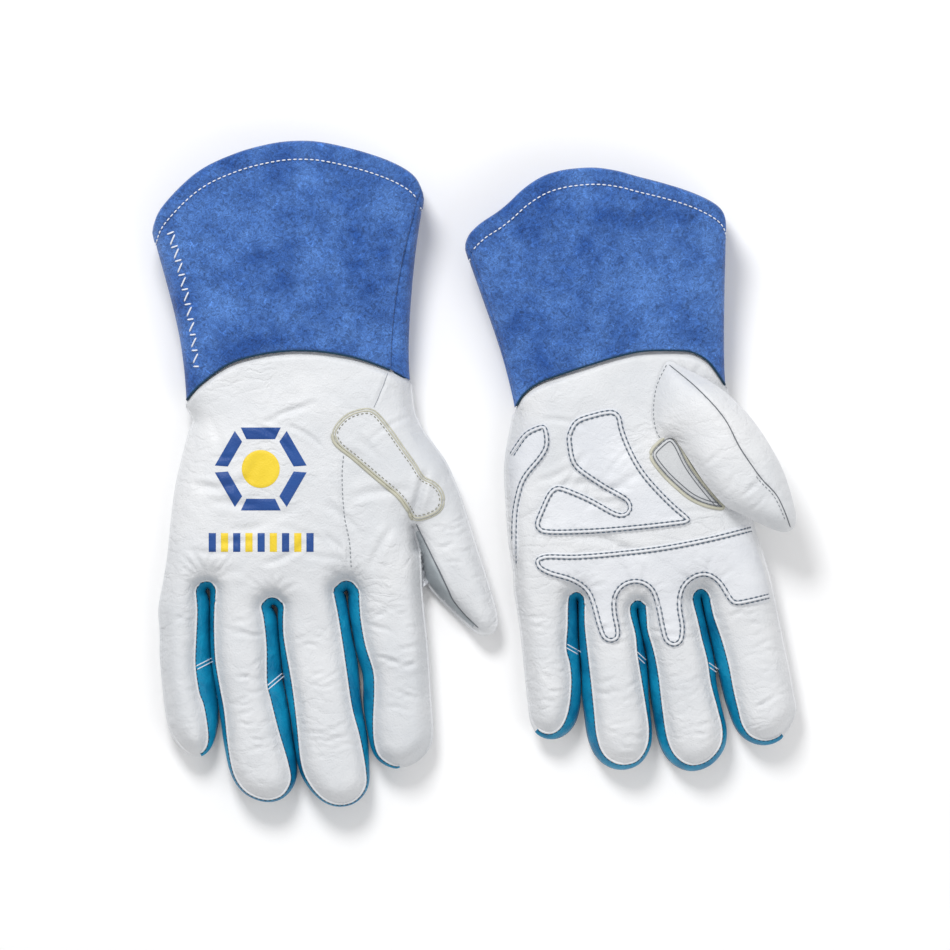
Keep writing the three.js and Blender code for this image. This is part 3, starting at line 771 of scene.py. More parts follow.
def wrist_line(glove, step=1.6):
    """The hand leather's own end, tucked inside the cuff."""
    line = arr(glove["wrist"])
    centre = (line[0, 0] + line[-1, 0]) / 2
    line[:, 0] = centre + (line[:, 0] - centre) * 0.93
    return catmull(line + (0, TUCK), step)[::-1]


def under_cuff(glove, p):
    """How far each plan point is inside the cuff, 0 to 1, and the room it has there."""
    wrist = catmull(glove["wrist"])
    order = np.argsort(wrist[:, 0])
    edge = np.interp(p[:, 0], wrist[order, 0], wrist[order, 1])
    low, high = wrist[:, 0].min(), wrist[:, 0].max()
    across = np.clip((p[:, 0] - (low + high) / 2) / ((high - low) / 2), -1, 1)
    room = (1 - across ** 2) ** 0.39 * (CUFF_WRIST_HALF - LEATHER - 2.4)
    return smoothstep((p[:, 1] - edge + 4.5) / 4.5), room


def skin(glove, ring, half, top, sign, folds):
    """A puffed sheet over the plan outline: it rises from its seam with a round shoulder."""
    closing = wrist_line(glove)
    outline = np.vstack([ring, closing])
    verts, faces = triangulate(outline, GRID)
    rim = len(ring)
    distance, where = segment_distance(verts, ring[:-1], ring[1:])
    spot = np.clip((where * (rim - 1)).round().astype(int), 0, rim - 1)
    centre = centre_height(verts)
    seam = centre + sign * half[spot]
    in_hand = smoothstep((verts[:, 1] + 62) / 45)
    rise = shoulder(distance, STALL_SHOULDER + (HAND_SHOULDER - STALL_SHOULDER) * in_hand)
    crown = top(verts)
    z = seam + (crown - seam) * rise
    fixed = np.zeros(len(verts), bool)
    fixed[:rim] = True
    z = relax(z, faces, fixed, int(16 * (1.25 / GRID) ** 2))
    free = smoothstep(distance / 3.0)
    wave = 0.9 * noise_at(verts, 34, 3.1) + 0.45 * noise_at(verts, 13, 8.7) + 0.16 * noise_at(verts, 5.2, 1.3)
    z += sign * wave * free * np.clip(np.abs(crown - centre) / 12, 0, 1)
    for line, depth, width in folds:
        z += sign * crease(verts, line, depth, width) * free
    covered, room = under_cuff(glove, verts)
    held = HAND_CENTRE + 0.5 + sign * np.minimum(sign * (z - HAND_CENTRE - 0.5), room)
    z = z + (held - z) * covered
    z = np.maximum(z, FLOOR_CLEAR)
    full = np.column_stack([verts, z])
    if sign < 0:
        faces = faces[:, ::-1]
    return full, faces


def band_mesh(visible, hidden, half, bulge, chosen):
    """The strip of leather between the two seams along a chosen run of outline points."""
    steps = 8
    normal = outward(visible)
    z = centre_height(visible)
    rows = []
    for i in chosen:
        column = []
        for k in range(steps + 1):
            u = k / steps
            p = visible[i] + (hidden[i] - visible[i]) * u
            p = p + normal[i] * bulge[i] * math.sin(math.pi * u)
            column.append((p[0], p[1], z[i] + half[i] * (1 - 2 * u)))
        rows.append(column)
    verts = arr(rows).reshape(-1, 3)
    faces = []
    wide = steps + 1
    for i in range(len(chosen) - 1):
        for k in range(steps):
            a = i * wide + k
            faces.append((a, a + 1, a + wide + 1, a + wide))
    return verts, faces


def runs_of(mask):
    """Index runs where the mask holds, each stretched by one point so neighbours meet."""
    out, current = [], []
    for i, yes in enumerate(mask):
        if yes:
            current.append(i)
        elif current:
            out.append(current + [i])
            current = []
    if current:
        out.append(current)
    return out


def surface_drop(tree, line, lift=0.0, from_above=True):
    """A plan line laid on a surface."""
    out = []
    way = Vector((0, 0, -1 if from_above else 1))
    start = 90 if from_above else -20
    last = 10.0
    for x, y in line:
        hit = tree.ray_cast(Vector((x, y, start)), way)[0]
        last = hit.z if hit else last
        out.append((x, y, last + (lift if from_above else -lift)))
    return arr(out)


def tree_of(verts, faces):
    return BVHTree.FromPolygons([Vector(v) for v in verts], [list(map(int, f)) for f in faces])


def covered(skin_mesh, verts, faces):
    """The tree of a skin with one more piece on it."""
    return tree_of(*join([skin_mesh, (verts, faces)]))


def overlay(tree, ring, thickness, edge, up, lift=0.1, spacing=1.3):
    """A sewn-on leather piece: it follows the surface below it and rounds off at its edge."""
    verts, faces = triangulate(ring, spacing)
    distance = segment_distance(verts, ring, np.roll(ring, -1, axis=0))[0]
    rise = shoulder(distance, edge)
    laid = surface_drop(tree, verts, 0.0, up)
    sign = 1 if up else -1
    laid[:, 2] += sign * (lift - 0.35 * (1 - rise) + thickness * rise)
    laid[:, 2] = np.maximum(laid[:, 2], 0.6)
    if not up:
        faces = faces[:, ::-1]
    return laid, faces


def inset(ring, distance):
    """The ring moved inwards, smoothed so that tight corners stay round."""
    return round_ring(ring - outward(ring) * distance, 3)


# ------------------------------------------------------------------ thread, welts and seam edges

class Trim:
    """Small trim gathered by zone, so that each zone's thread or piping is one piece."""

    def __init__(self, glove):
        self.glove = glove
        self.made = {}

    def add(self, kind, path, maker, up=True):
        """Cuts a 3-D path where its zone changes, and makes each part with maker(path). On the
        underside the part is made upside down."""
        path = arr(path)
        zone = zone_of(self.glove, path)
        start = 0
        for i in range(1, len(path) + 1):
            if i == len(path) or zone[i] != zone[start]:
                part = path[start:min(i + 1, len(path))]
                if len(part) > 2:
                    verts, faces = maker(part * (1, 1, 1 if up else -1))
                    if not up and len(verts):
                        verts, faces = verts * (1, 1, -1), [tuple(f[::-1]) for f in faces]
                    self.keep(kind, int(zone[start]), (verts, faces))
                start = i

    def keep(self, kind, zone, mesh):
        if len(mesh[0]):
            self.made.setdefault((kind, zone), []).append(mesh)

    def flush(self, looks):
        out = {}
        for (kind, zone), meshes in self.made.items():
            look, slot = looks[kind]
            label, blend = zone_home(self.glove, zone)
            out[kind, zone] = put(f"{self.glove['name']}_{label}_{kind}", *join(meshes), look, slot, blend)
        return out


def cord(radius, sides=8):
    return lambda path: tube_mesh(path, radius, sides)


def sewn(shortest, **stitch):
    """A maker of stitch rows, which leaves out a row that is too short."""
    def maker(path):
        if lengths(path)[-1] < shortest:
            return np.zeros((0, 3)), []
        return stitch_mesh(path, **stitch)
    return maker


STITCHES = sewn(4, length=1.7, gap=1.0, radius=0.3, sink=0.5)
FINE_STITCHES = sewn(3, length=1.4, gap=0.9, radius=0.22, sink=0.35)
ROLLED_EDGE = cord(0.55)
EDGE_CORD = cord(0.42)
SEAM_LINE = cord(0.24, 6)
SEAM_CORD = cord(0.34, 6)
RIDGE_CORD = cord(0.66, 10)
WELT_CORD = cord(0.85, 10)
TACK = cord(0.3, 6)


# ------------------------------------------------------------------ pattern lines

# Palm pads, drawn on the left glove's palm.
PAD_RINGS = {
    "edge": [(15.9, 10.5), (19, 15.5), (24.7, 22.6), (34.2, 26.2), (37.6, 22), (38, 14), (34.4, 7.2),
             (26.4, -2.8), (23.2, -13), (21.9, -24), (21.9, -46), (18.4, -46), (17.6, -24), (17.2, -6)],
    "heel": [(44.8, 20), (49, 28), (57.8, 31.6), (68.6, 33.6), (73.8, 30), (75.2, 23.5), (79.3, 13),
             (85, 3), (92.2, -5.7), (100.8, -14.3), (108.6, -21.4), (106.6, -25.2), (99.4, -26.5),
             (79.3, -28.7), (57.8, -30.4), (36.2, -30.8), (30.2, -28.4), (28.8, -23.8), (31.9, -15.8),
             (35.6, -8), (39.8, -4.6), (44.8, -5), (57.8, -10.4), (70.6, -17.4), (75.4, -18.2),
             (75.6, -15), (70.7, -12), (62, -7), (50, 1.4), (46.3, 7.2), (45, 14.5)],
    "knuckle": [(138.4, -24.6), (116.5, -30), (93.5, -34.4), (72, -37), (50.5, -38.7), (34.8, -38.7),
                (29.2, -42), (30.3, -47.3), (36.2, -51), (47.7, -54.5), (54.6, -59.2), (57.6, -67),
                (60, -76), (62.8, -82.6), (67.8, -85), (72.8, -82.6), (73.6, -77), (72, -69),
                (71.9, -61.5), (75, -56.8), (80.7, -55.2), (86.4, -58), (89.3, -66), (91.3, -76),
                (93.8, -84), (99.4, -87), (104.6, -84), (106, -76), (104.4, -65.5), (105.6, -57.4),
                (110, -53), (115, -51.6), (120.4, -55), (126, -63.6), (131.4, -66.2), (148.6, -62.6),
                (146, -50), (142.6, -38)],
}
# How many of a pad's first points make its sewn side. The rest lies on the glove's edge.
SEWN_POINTS = {"edge": 11, "heel": None, "knuckle": -2}
KEYSTONE = [(87.6, 10), (91.4, 15.4), (97.2, 19.6), (101.5, 16), (106.5, 5.8), (113.7, -4.3),
            (122.3, -14.3), (125.4, -16.6), (116.5, -15.4), (108, -11.8), (100.8, -6), (93.5, 1.2)]

# Back lines, drawn on the right glove's back.
PATCH = [(-71.2, 20), (-69.6, 24.7), (-63.5, 30.6), (-54.3, 33.3), (-49.3, 31.6), (-42, 23),
         (-35.5, 13.6), (-29.4, 5.2), (-26.4, -0.4), (-24.6, -1.8), (-20.2, -3.4), (-16.2, -8),
         (-15.2, -12.6), (-16.8, -17.8), (-22.4, -21.2), (-28.4, -22.8), (-31.4, -22.4), (-34.4, -16.4),
         (-39, -10.5), (-49.7, -1.4), (-60.4, 7.8), (-68.4, 14.2)]
PATCH_WELT = [(-71.4, 20.6), (-69.6, 15.4), (-60.4, 7.8), (-49.7, -1.4), (-39, -10.5), (-34.4, -16.4),
              (-31.4, -22.4)]
THUMB_FOLD = [(-24.8, 3), (-26.6, -5), (-29.2, -14), (-32, -24)]
INDEX_SEAM = [(-66.5, 10), (-67.3, -1.4), (-66.2, -20), (-63.6, -33.5), (-62.7, -47.3)]
CUFF_SEAM = [(-43.5, 51), (-46.5, 43), (-50.5, 33.6)]
THUMB_SEAM = [(-29.4, -24.6), (-22, -39.5), (-14.5, -55), (-11, -62.5), (-5.3, -69.6), (1.6, -76.4)]
BADGE_CENTRE, BADGE_RADIUS = (-107, 3), 23.0

# White double tacks across the teal leather.
TACKS = {
    "right": [((-139.4, -96.5), (-131.6, -92.6)), ((-104.2, -106.8), (-96, -99.9))],
    "left": [((45.6, -85.4), (52.6, -89.4)), ((80.4, -89), (85.6, -93.8)), ((116.4, -94.6), (121.4, -98))],
}


def dense(ring, step=1.2):
    """A straight-sided ring with extra points along its sides."""
    out = []
    for a, b in zip(ring, np.roll(ring, -1, axis=0)):
        count = max(1, int(np.linalg.norm(b - a) / step))
        out += [a + (b - a) * k / count for k in range(count)]
    return arr(out)


def badge_rings():
    """A plain badge of the gloves' own: a hexagonal band round a disc, and a row of bars."""
    band = []
    for k in range(6):
        # Six separate bars make the hexagon's sides.
        a0, a1 = math.pi / 3 * k + 0.075, math.pi / 3 * (k + 1) - 0.075
        corners = [(BADGE_RADIUS, a0), (BADGE_RADIUS, a1), (BADGE_RADIUS - 6.5, a1), (BADGE_RADIUS - 6.5, a0)]
        band.append(dense(arr([(BADGE_CENTRE[0] + r * math.cos(a), BADGE_CENTRE[1] + r * math.sin(a))
                               for r, a in corners]), 1.0))
    turn = np.linspace(0, 2 * math.pi, 48, endpoint=False)
    disc = arr(BADGE_CENTRE) + 9.5 * np.stack([np.cos(turn), np.sin(turn)], axis=1)
    bars = []
    for k in range(9):
        x = -133 + k * 6.1
        bar = arr([(x, -38.4), (x + 3.6, -38.4), (x + 3.6, -29), (x, -29)])
        bars.append(dense(bar, 1.0))
    return band, disc, bars


def tidy_ring(ring):
    """Drops points that fell on their neighbours."""
    keep = [ring[0]]
    for p in ring[1:]:
        if np.linalg.norm(p - keep[-1]) > 0.35:
            keep.append(p)
    if np.linalg.norm(keep[0] - keep[-1]) < 0.35:
        keep.pop()
    return arr(keep)


# ------------------------------------------------------------------ cuffs

def cuff_surface(glove, phi, h, depth):
    """Points of the cuff: phi runs round the section from the thumb edge over the top, h from
    the wrist to the mouth, depth is how far inside the outer surface the point lies."""
    wrist = resample(catmull(glove["wrist"]), 400)
    mouth = resample(catmull(glove["mouth"]), 400)
    half = CUFF_WRIST_HALF + (CUFF_MOUTH_HALF - CUFF_WRIST_HALF) * h
    waist = 1 - glove["waist"] * np.sin(np.pi * np.clip(h, 0, 1) ** 0.85)
    cosine, sine = np.cos(phi), np.sin(phi)
    swell = (0.55 * np.sin(3.1 * phi + 2.3 * h) * np.sin(2.2 * h + 1.1 * phi)
             + 0.4 * np.sin(7.0 * phi + 5.5 * h))
    depth = depth - swell * np.sin(np.pi * np.clip(h * 0.9 + 0.08, 0, 1))
    across = cosine * waist * (1 - depth / 56)
    t = np.clip((across + 1) / 2, 0, 1) * 399
    low = np.stack([np.interp(t, np.arange(400), wrist[:, k]) for k in range(2)], axis=-1)
    high = np.stack([np.interp(t, np.arange(400), mouth[:, k]) for k in range(2)], axis=-1)
    xy = low + (high - low) * h[..., None]
    z = half + 0.5 + np.sign(sine) * np.abs(sine) ** 0.78 * (half - depth)
    return np.concatenate([xy, np.maximum(z, 0.3)[..., None]], axis=-1)


CUFF_LENGTH = 96.0
HEM = 7.6 / CUFF_LENGTH                 # share of the cuff that is folded back at its mouth
RIM_OUT = 1.1                           # how far the mouth's fold stands out
LAP = 0.10                              # how far one panel runs under the other, in radians


def cuff_panel(glove, start, end, under_start, under_end):
    """One suede panel as a closed shell. An edge that is under lies inside its neighbour."""
    columns, rows = ((170, 90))
    h = np.linspace(0, 1, rows)
    u = np.linspace(0, 1, columns)
    fold = smoothstep((h - (1 - HEM * 1.15)) / (HEM * 0.35))
    channel = np.exp(-((h - (1 - HEM)) / (0.011)) ** 2)
    sides = []
    for inner in (False, True):
        hh, uu = np.meshgrid(h, u, indexing="ij")
        first = start[0] + (start[1] - start[0]) * (1 - hh)
        last = end[0] + (end[1] - end[0]) * (1 - hh)
        phi = first + (last - first) * uu
        tuck = 1.9 * (under_start * smoothstep(1 - (phi - first) / 0.22)
                      + under_end * smoothstep(1 - (last - phi) / 0.22))
        if inner:
            depth = LEATHER + tuck + (0.9 * fold)[:, None]
        else:
            depth = tuck - (0.35 * fold)[:, None] + (0.55 * channel)[:, None]
        sides.append(cuff_surface(glove, phi, hh, depth))
    outer, inner = sides
    # The mouth is a fold, so its rim is round.
    rim_mid = (outer[-1] + inner[-1]) / 2
    rim_mid[:, :2] += unit((outer[-1] - outer[-2])[:, :2]) * RIM_OUT
    loop = np.concatenate([outer, rim_mid[None], inner[::-1]])
    count = len(loop)
    verts = loop.reshape(-1, 3)
    faces = []
    for i in range(count):
        n = (i + 1) % count
        for k in range(columns - 1):
            faces.append((i * columns + k, i * columns + k + 1, n * columns + k + 1, n * columns + k))
    for k, flip in ((0, False), (columns - 1, True)):
        for i in range(rows - 1):
            a, b = i * columns + k, (i + 1) * columns + k
            c, d = (count - 2 - i) * columns + k, (count - 1 - i) * columns + k
            face = (a, b, c, d)
            faces.append(face[::-1] if flip else face)
        a, b, c = (rows - 1) * columns + k, rows * columns + k, (rows + 1) * columns + k
        faces.append((a, b, c)[::-1] if flip else (a, b, c))
    return outward_facing(verts, faces)


def outward_facing(verts, faces):
    """Turns a closed mesh's faces to point out, by the sign of its volume."""
    total = 0.0
    for face in faces:
        a = verts[face[0]]
        for i in range(1, len(face) - 1):
            total += np.dot(a, np.cross(verts[face[i]], verts[face[i + 1]]))
    return verts, faces if total > 0 else [tuple(f[::-1]) for f in faces]


def build_cuff(glove):
    side = glove["name"]
    top_start, top_end = glove["lap"][:2], glove["lap"][2:]
    top, bottom, laps = ("back", "palm", (0, 1)) if side == "right" else ("palm", "back", (1, 0))
    first = cuff_panel(glove, top_start, top_end, *laps)
    second = cuff_panel(glove, [phi - LAP for phi in top_end],
                        [phi + 2 * math.pi + LAP for phi in top_start], *laps)
    blend = wrist_blend(glove)
    for label, mesh in ((top, first), (bottom, second)):
        piece = put(f"{side}_cuff_{label}_suede", *mesh, SUEDE, "blue_suede", blend)
        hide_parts(f"{side}_cuff_{label}_panel")
    thread = []
    for low, high in ((top_start[0] + 0.06, top_end[0] - 0.05),
                      (top_end[0] + 0.12, top_start[0] + 2 * math.pi - 0.06)):
        phi = np.linspace(low, high, 260)
        line = cuff_surface(glove, phi, np.full(260, 1 - HEM), np.full(260, -0.15))
        thread.append(stitch_mesh(line, length=1.9, gap=0.9, radius=0.32, sink=0.5))
    # Painted shadow: a navy cord along the cuff's wrist edge stands for the shadow line where the cuff stands
    # over the hand leather.
    painted_shadow_lines = []
    for low, high, deep in ((top_start[1], top_end[1], 0),
                            (top_end[1] + 0.1, top_start[1] + 2 * math.pi - 0.1, 1.2)):
        phi = np.linspace(low, high, 200)
        line = cuff_surface(glove, phi, np.full(200, -0.003), np.full(200, deep + 0.55))
        painted_shadow_lines.append(tube_mesh(line, 0.6, 8))
    put(f"{side}_cuff_wrist_binding", *join(painted_shadow_lines), THREAD["navy"], "blue_suede", blend)
    put(f"{side}_cuff_hem_thread", *join(thread), THREAD["white"], "blue_suede", blend)
    if side == "right":
        put("right_cuff_hatch_thread", *cuff_hatch(glove), THREAD["white"], "blue_suede", blend)


def cuff_hatch(glove):
    """A band of slanting bar tacks down the cuff's little-finger side."""
    made = []
    for k in range(19):
        h = 0.10 + k * 0.0415
        lean = 0.012 if k % 2 else -0.012
        u = np.linspace(0, 1, 9)
        phi = 2.56 + 0.115 * (1 - h) * 0.3 - 0.105 * (u - 0.5)
        line = cuff_surface(glove, phi, h + lean * (2 * u - 1), np.full(9, -0.1))
        line[:, 2] += 0.35 - 0.5 * (2 * u - 1) ** 6
        made.append(tube_mesh(line, 0.42, 6))
    return join(made)


# ------------------------------------------------------------------ gloves

def crown_of(glove, visible):
    """The height the leather rises to, above the surface the gloves lie on."""
    def top(p):
        height = FINGER_TOP + (HAND_TOP - FINGER_TOP) * smoothstep((p[:, 1] + 80) / 50)
        if not visible:
            return np.full(len(p), UNDERSIDE)
        if glove["thumb"] is not None:
            thumb = glove["stalls"][-1]
            beside = smoothstep(1.6 - np.abs(thumb.across(p)) / thumb.half)
            height = height - 4.5 * (smoothstep((thumb.along(p) + 30) / 34) * beside)
        return height
    return top


def build_hand(glove):
    side = glove["name"]
    back_up = side == "right"
    glove["stalls"] = [Finger(glove, name) for name in glove["fingers"]]
    if back_up:
        glove["stalls"].append(Finger(glove, "thumb"))
    visible, hidden, half = build_rings(glove)
    draw = random.Random(11 if back_up else 23)
    folds_top = finger_creases(glove, draw) + hand_creases(glove, draw)
    folds_low = finger_creases(glove, draw) + hand_creases(glove, draw)
    back_lines, palm_lines = pattern_for(glove)
    for seam in back_lines["grooves"]:
        (folds_top if back_up else folds_low).append((catmull(seam), 0.75, 0.75))
    if back_up:
        folds_top.append((catmull(THUMB_FOLD), 2.4, 1.7))
    looks = {back_up: "back_skin", not back_up: "palm_skin"}
    replaced = {"back_skin": ("back_leather", "back_panel"), "palm_skin": ("palm_leather", "palm_panel")}
    trees = {}
    for up in (True, False):
        ring = visible if up else hidden
        verts, faces = skin(glove, ring, half, crown_of(glove, up), 1 if up else -1,
                            folds_top if up else folds_low)
        trees[up] = (verts, faces)
        for piece in put_zoned(glove, looks[up], verts, faces, WHITE, "white_leather"):
            label = piece.name.split("_")[1]
            stall, panel = replaced[looks[up]]
            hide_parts(f"{side}_{panel}" if label == "hand" else f"{side}_{label}_{stall}")

    trim = Trim(glove)
    build_bands(glove, visible, hidden, half, trim)
    build_overlays(glove, trees, {True: visible, False: hidden}, back_lines, palm_lines, trim)
    made = trim.flush({
        "seam_edge": (WHITE, "white_leather"),
        "hidden_seam_edge": (THREAD["navy"], "teal_leather"),
        "white_thread": (THREAD["white"], "white_leather"),
        "slate_thread": (THREAD["slate"], "palm_pad_leather"),
        "grey_thread": (THREAD["grey"], "white_leather"),
        "olive_thread": (THREAD["olive"], "cream_welt"),
        "navy_thread": (THREAD["navy"], "teal_leather"),
        "teal_tacks": (THREAD["white"], "teal_leather"),
        "seam_line": (SEAM_GREY, "white_leather"),
        "pad_groove": (SEAM_GREY, "palm_pad_leather"),
        "pad_ridge": (PAD_WHITE, "palm_pad_leather"),
        "thumb_seam_line": (SEAM_DARK, "white_leather"),
        "welt": (CREAM, "cream_welt"),
    })
    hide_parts(f"{side}_thumb_welt")
    return trees


def build_bands(glove, visible, hidden, half, trim):
    """The teal fourchettes between the stalls, and the white leather that turns the outer edges."""
    side = glove["name"]
    teal = half > TEAL_FROM
    bulge = np.where(teal, 1.3, 0.9)
    z = centre_height(visible)
    normal = outward(visible)
    pieces = []

    def strips(mask):
        return [band_mesh(visible, hidden, half, bulge, run) for run in runs_of(mask) if len(run) > 2]

    for mask, look, slot, label in ((teal, TEAL, "teal_leather", "fourchette"),
                                    (~teal, WHITE, "white_leather", "side_wrap")):
        fixed = []
        for verts, faces in strips(mask):
            n = vertex_normals(verts, np.array(faces))
            middle = len(verts) // 2
            near = np.argmin(np.linalg.norm(visible - verts[middle, :2], axis=1))
            if n[middle, :2] @ normal[near] < 0:
                faces = [f[::-1] for f in faces]
            fixed.append((verts, faces))
        pieces += put_zoned(glove, label, *join(fixed), look, slot)
    for piece in pieces:
        label = piece.name.split("_")[1]
        if "fourchette" in piece.name:
            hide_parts(*(n for n in frame["nodes"] if n.startswith(side + "_")
                                 and (f"_{label}_fourchette" in n or label == "hand" and "gusset" in n)))
    for run in runs_of(teal):
        if len(run) > 3:
            top = np.column_stack([visible[run], z[run] + half[run] + 0.15])
            trim.add("seam_edge", top, ROLLED_EDGE)
            beside = visible[run] + 0.75 * normal[run]
            trim.add("navy_thread", np.column_stack([beside, z[run] + half[run] - 0.5]), FINE_STITCHES)
            # Painted shade: a navy cord along the hidden seam, at the foot of the fourchette.
            low = np.column_stack([hidden[run] - 0.4 * normal[run], z[run] - half[run] - 0.5])
            trim.add("hidden_seam_edge", low, ROLLED_EDGE)
    walls = tree_of(*join(strips(teal)))
    for first, last in TACKS[side]:
        first, last = arr(first), arr(last)
        way = (last - first) / np.linalg.norm(last - first)
        for shift in (-0.85, 0.85):
            at = arr([first + (last - first) * t + shift * arr((-way[1], way[0]))
                      for t in np.linspace(0, 1, 14)])
            trim.add("teal_tacks", surface_drop(walls, at, 0.1, True), TACK)


def pattern_for(glove):
    """Pattern lines in this glove's own plan: what lies on its back, and what on its palm."""
    right = glove["name"] == "right"
    back, palm = (arr, to_right) if right else (to_left, arr)
    band, disc, bars = badge_rings()
    return (
        {"patch": back(PATCH), "welt": back(PATCH_WELT), "index": back(INDEX_SEAM), "cuff": back(CUFF_SEAM),
         "thumb": back(THUMB_SEAM), "badge": ([back(b) for b in band], back(disc), [back(b) for b in bars]),
         "grooves": [back(INDEX_SEAM), back(CUFF_SEAM)] + ([back(THUMB_SEAM)] if right else [])},
        {"pads": {name: palm(ring) for name, ring in PAD_RINGS.items()}, "keystone": palm(KEYSTONE)},
    )


def kept_inside(ring, outline, margin):
    """The ring with every point at least margin inside the outline."""
    border = inset(outline, margin)
    out = ring.copy()
    for i in np.nonzero(~inside(ring, border))[0]:
        out[i] = border[np.argmin(np.linalg.norm(border - ring[i], axis=1))]
    return tidy_ring(round_ring(out, 2))


def inset_line(line, distance):
    """An open line moved towards its right-hand side, seen in the direction it runs."""
    t = unit(np.gradient(line, axis=0))
    return line + distance * np.stack([-t[:, 1], t[:, 0]], axis=1)


def inside_runs(line, border):
    """The stretches of an open line that lie inside a border."""
    within = inside(line, border)
    return [line[[i for i in run if within[i]]] for run in runs_of(within) if len(run) > 6]


def sewn_rows(points, count, distance, border):
    """A pad's stitch row at a distance inside its edge, where that lies on the glove."""
    if count is None:
        row = inset(resample_ring(catmull(points, closed=True)), distance)
        return [np.vstack([row, row[:1]])]
    closed = catmull(points, closed=True)
    line = catmull(points[:count])
    normal = soften(outward(line, closed=False), 4)
    turned = inside(line - normal * 0.5, closed).mean() > 0.5
    row = soften(line - normal * (distance if turned else -distance), 3)
    return inside_runs(row, border)


def build_overlays(glove, trees, outline, back_lines, palm_lines, trim):
    side = glove["name"]
    back_up = side == "right"
    skins = {up: tree_of(*trees[up]) for up in trees}

    def sewn_on(name, points, margin, thickness, edge, look, slot, node=None, padded=None):
        """A leather piece sewn on the face that is up: its ring, and the face with it on."""
        ring = kept_inside(resample_ring(catmull(points, closed=True)), outline[up], margin)
        verts, faces = overlay(skins[up], ring, thickness, edge, up)
        for piece in put_zoned(glove, f"{name}_leather", verts, faces, look, slot, padded):
            if node and "_hand_" in piece.name:
                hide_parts(f"{side}_{node}")
        return ring, covered(trees[up], verts, faces)

    # Thumb patch with its welt and stitching, on the back.
    up = back_up
    border = inset(outline[up], 1.0)
    ring, top = sewn_on("thumb_patch", back_lines["patch"], 1.4, 0.9, 2.2, WHITE, "white_leather",
                        "thumb_patch")
    for row in inside_runs(catmull(back_lines["welt"]), border):
        trim.add("welt", surface_drop(top, row, 0.35, up), WELT_CORD, up)
    for distance in (0, 1.2):
        trim.add("welt", laid_ring(top, inset(ring, distance), up), EDGE_CORD, up)
    trim.add("olive_thread", laid_ring(top, inset(ring, 2.3), up), FINE_STITCHES, up)
    trim.add("grey_thread", surface_drop(top, catmull(back_lines["index"]) + (0.9, 0), 0.1, up),
             FINE_STITCHES, up)
    trim.add("seam_line", surface_drop(top, catmull(back_lines["cuff"]), 0.0, up), SEAM_LINE, up)
    if back_up:
        seam = catmull(back_lines["thumb"])
        edge = catmull(glove["thumb"][1:8])
        # A grey sheet of painted shade, laid on the thumb's inner side between its seam and its edge.
        ring = tidy_ring(resample_ring(np.vstack([seam[2:-3], inset_line(edge, 0.3)[::-1]])))
        side_mesh = overlay(skins[up], ring, 0.4, 1.0, up, lift=0.3, spacing=1.0)
        put_zoned(glove, "thumb_side_leather", *side_mesh, SHADE_GREY, "white_leather")
        trim.add("thumb_seam_line", surface_drop(top, seam, 0.3, up), SEAM_CORD, up)

    # Badge and bars.
    band, disc, bars = back_lines["badge"]
    parts = [("badge_blue", band, PRINT_BLUE), ("badge_gold", [disc], PRINT_GOLD),
             ("bars_blue", bars[0::2], PRINT_BLUE), ("bars_gold", bars[1::2], PRINT_GOLD)]
    for label, rings, look in parts:
        printed = join([overlay(skins[up], tidy_ring(r), 0.06, 0.4, up, lift=0.42, spacing=0.9)
                        for r in rings])
        put(f"{side}_hand_{label}", *printed, look, "white_leather", wrist_blend(glove))

    # Palm pads with their double rows of stitching.
    up = not back_up
    for name, points in palm_lines["pads"].items():
        top = sewn_on(f"{name}_pad", points, 1.2, 1.1, 2.4, PAD_WHITE, "palm_pad_leather",
                      f"palm_pad_{name}", padded=PAD_FILL)[1]
        for distance in PAD_ROWS:
            for row in sewn_rows(points, SEWN_POINTS[name], distance, inset(outline[up], 0.8)):
                trim.add("slate_thread", surface_drop(top, row, 0.05, up), STITCHES, up)
                trim.add("pad_groove", surface_drop(top, row, -0.02, up), SEAM_LINE, up)
        for row in sewn_rows(points, SEWN_POINTS[name], PAD_RIDGE, inset(outline[up], 0.8)):
            # Where the glove lies on its pads, the ridge is pressed flat.
            lift = RIDGE_LIFT if up else RIDGE_PRESSED
            trim.add("pad_ridge", surface_drop(top, row, lift, up), RIDGE_CORD, up)
    # The keystone's grey is painted shadow of the left thumb that lies beside it.
    ring, top = sewn_on("keystone", palm_lines["keystone"], 1.6, 1.0, 1.6, KEYSTONE_PAINTED_SHADOW, "palm_pad_leather")
    trim.add("welt", laid_ring(top, inset(ring, -0.4), up), WELT_CORD, up)
    for distance in (0.9, 2.4):
        trim.add("thumb_seam_line", laid_ring(top, inset(ring, distance), up), SEAM_LINE, up)


def laid_ring(tree, ring, up):
    return surface_drop(tree, np.vstack([ring, ring[:1]]), 0.1, up)


for glove in (RIGHT, LEFT):
    glove["trees"] = build_hand(glove)
    build_cuff(glove)


# ------------------------------------------------------------------ the left thumb, folded over the palm

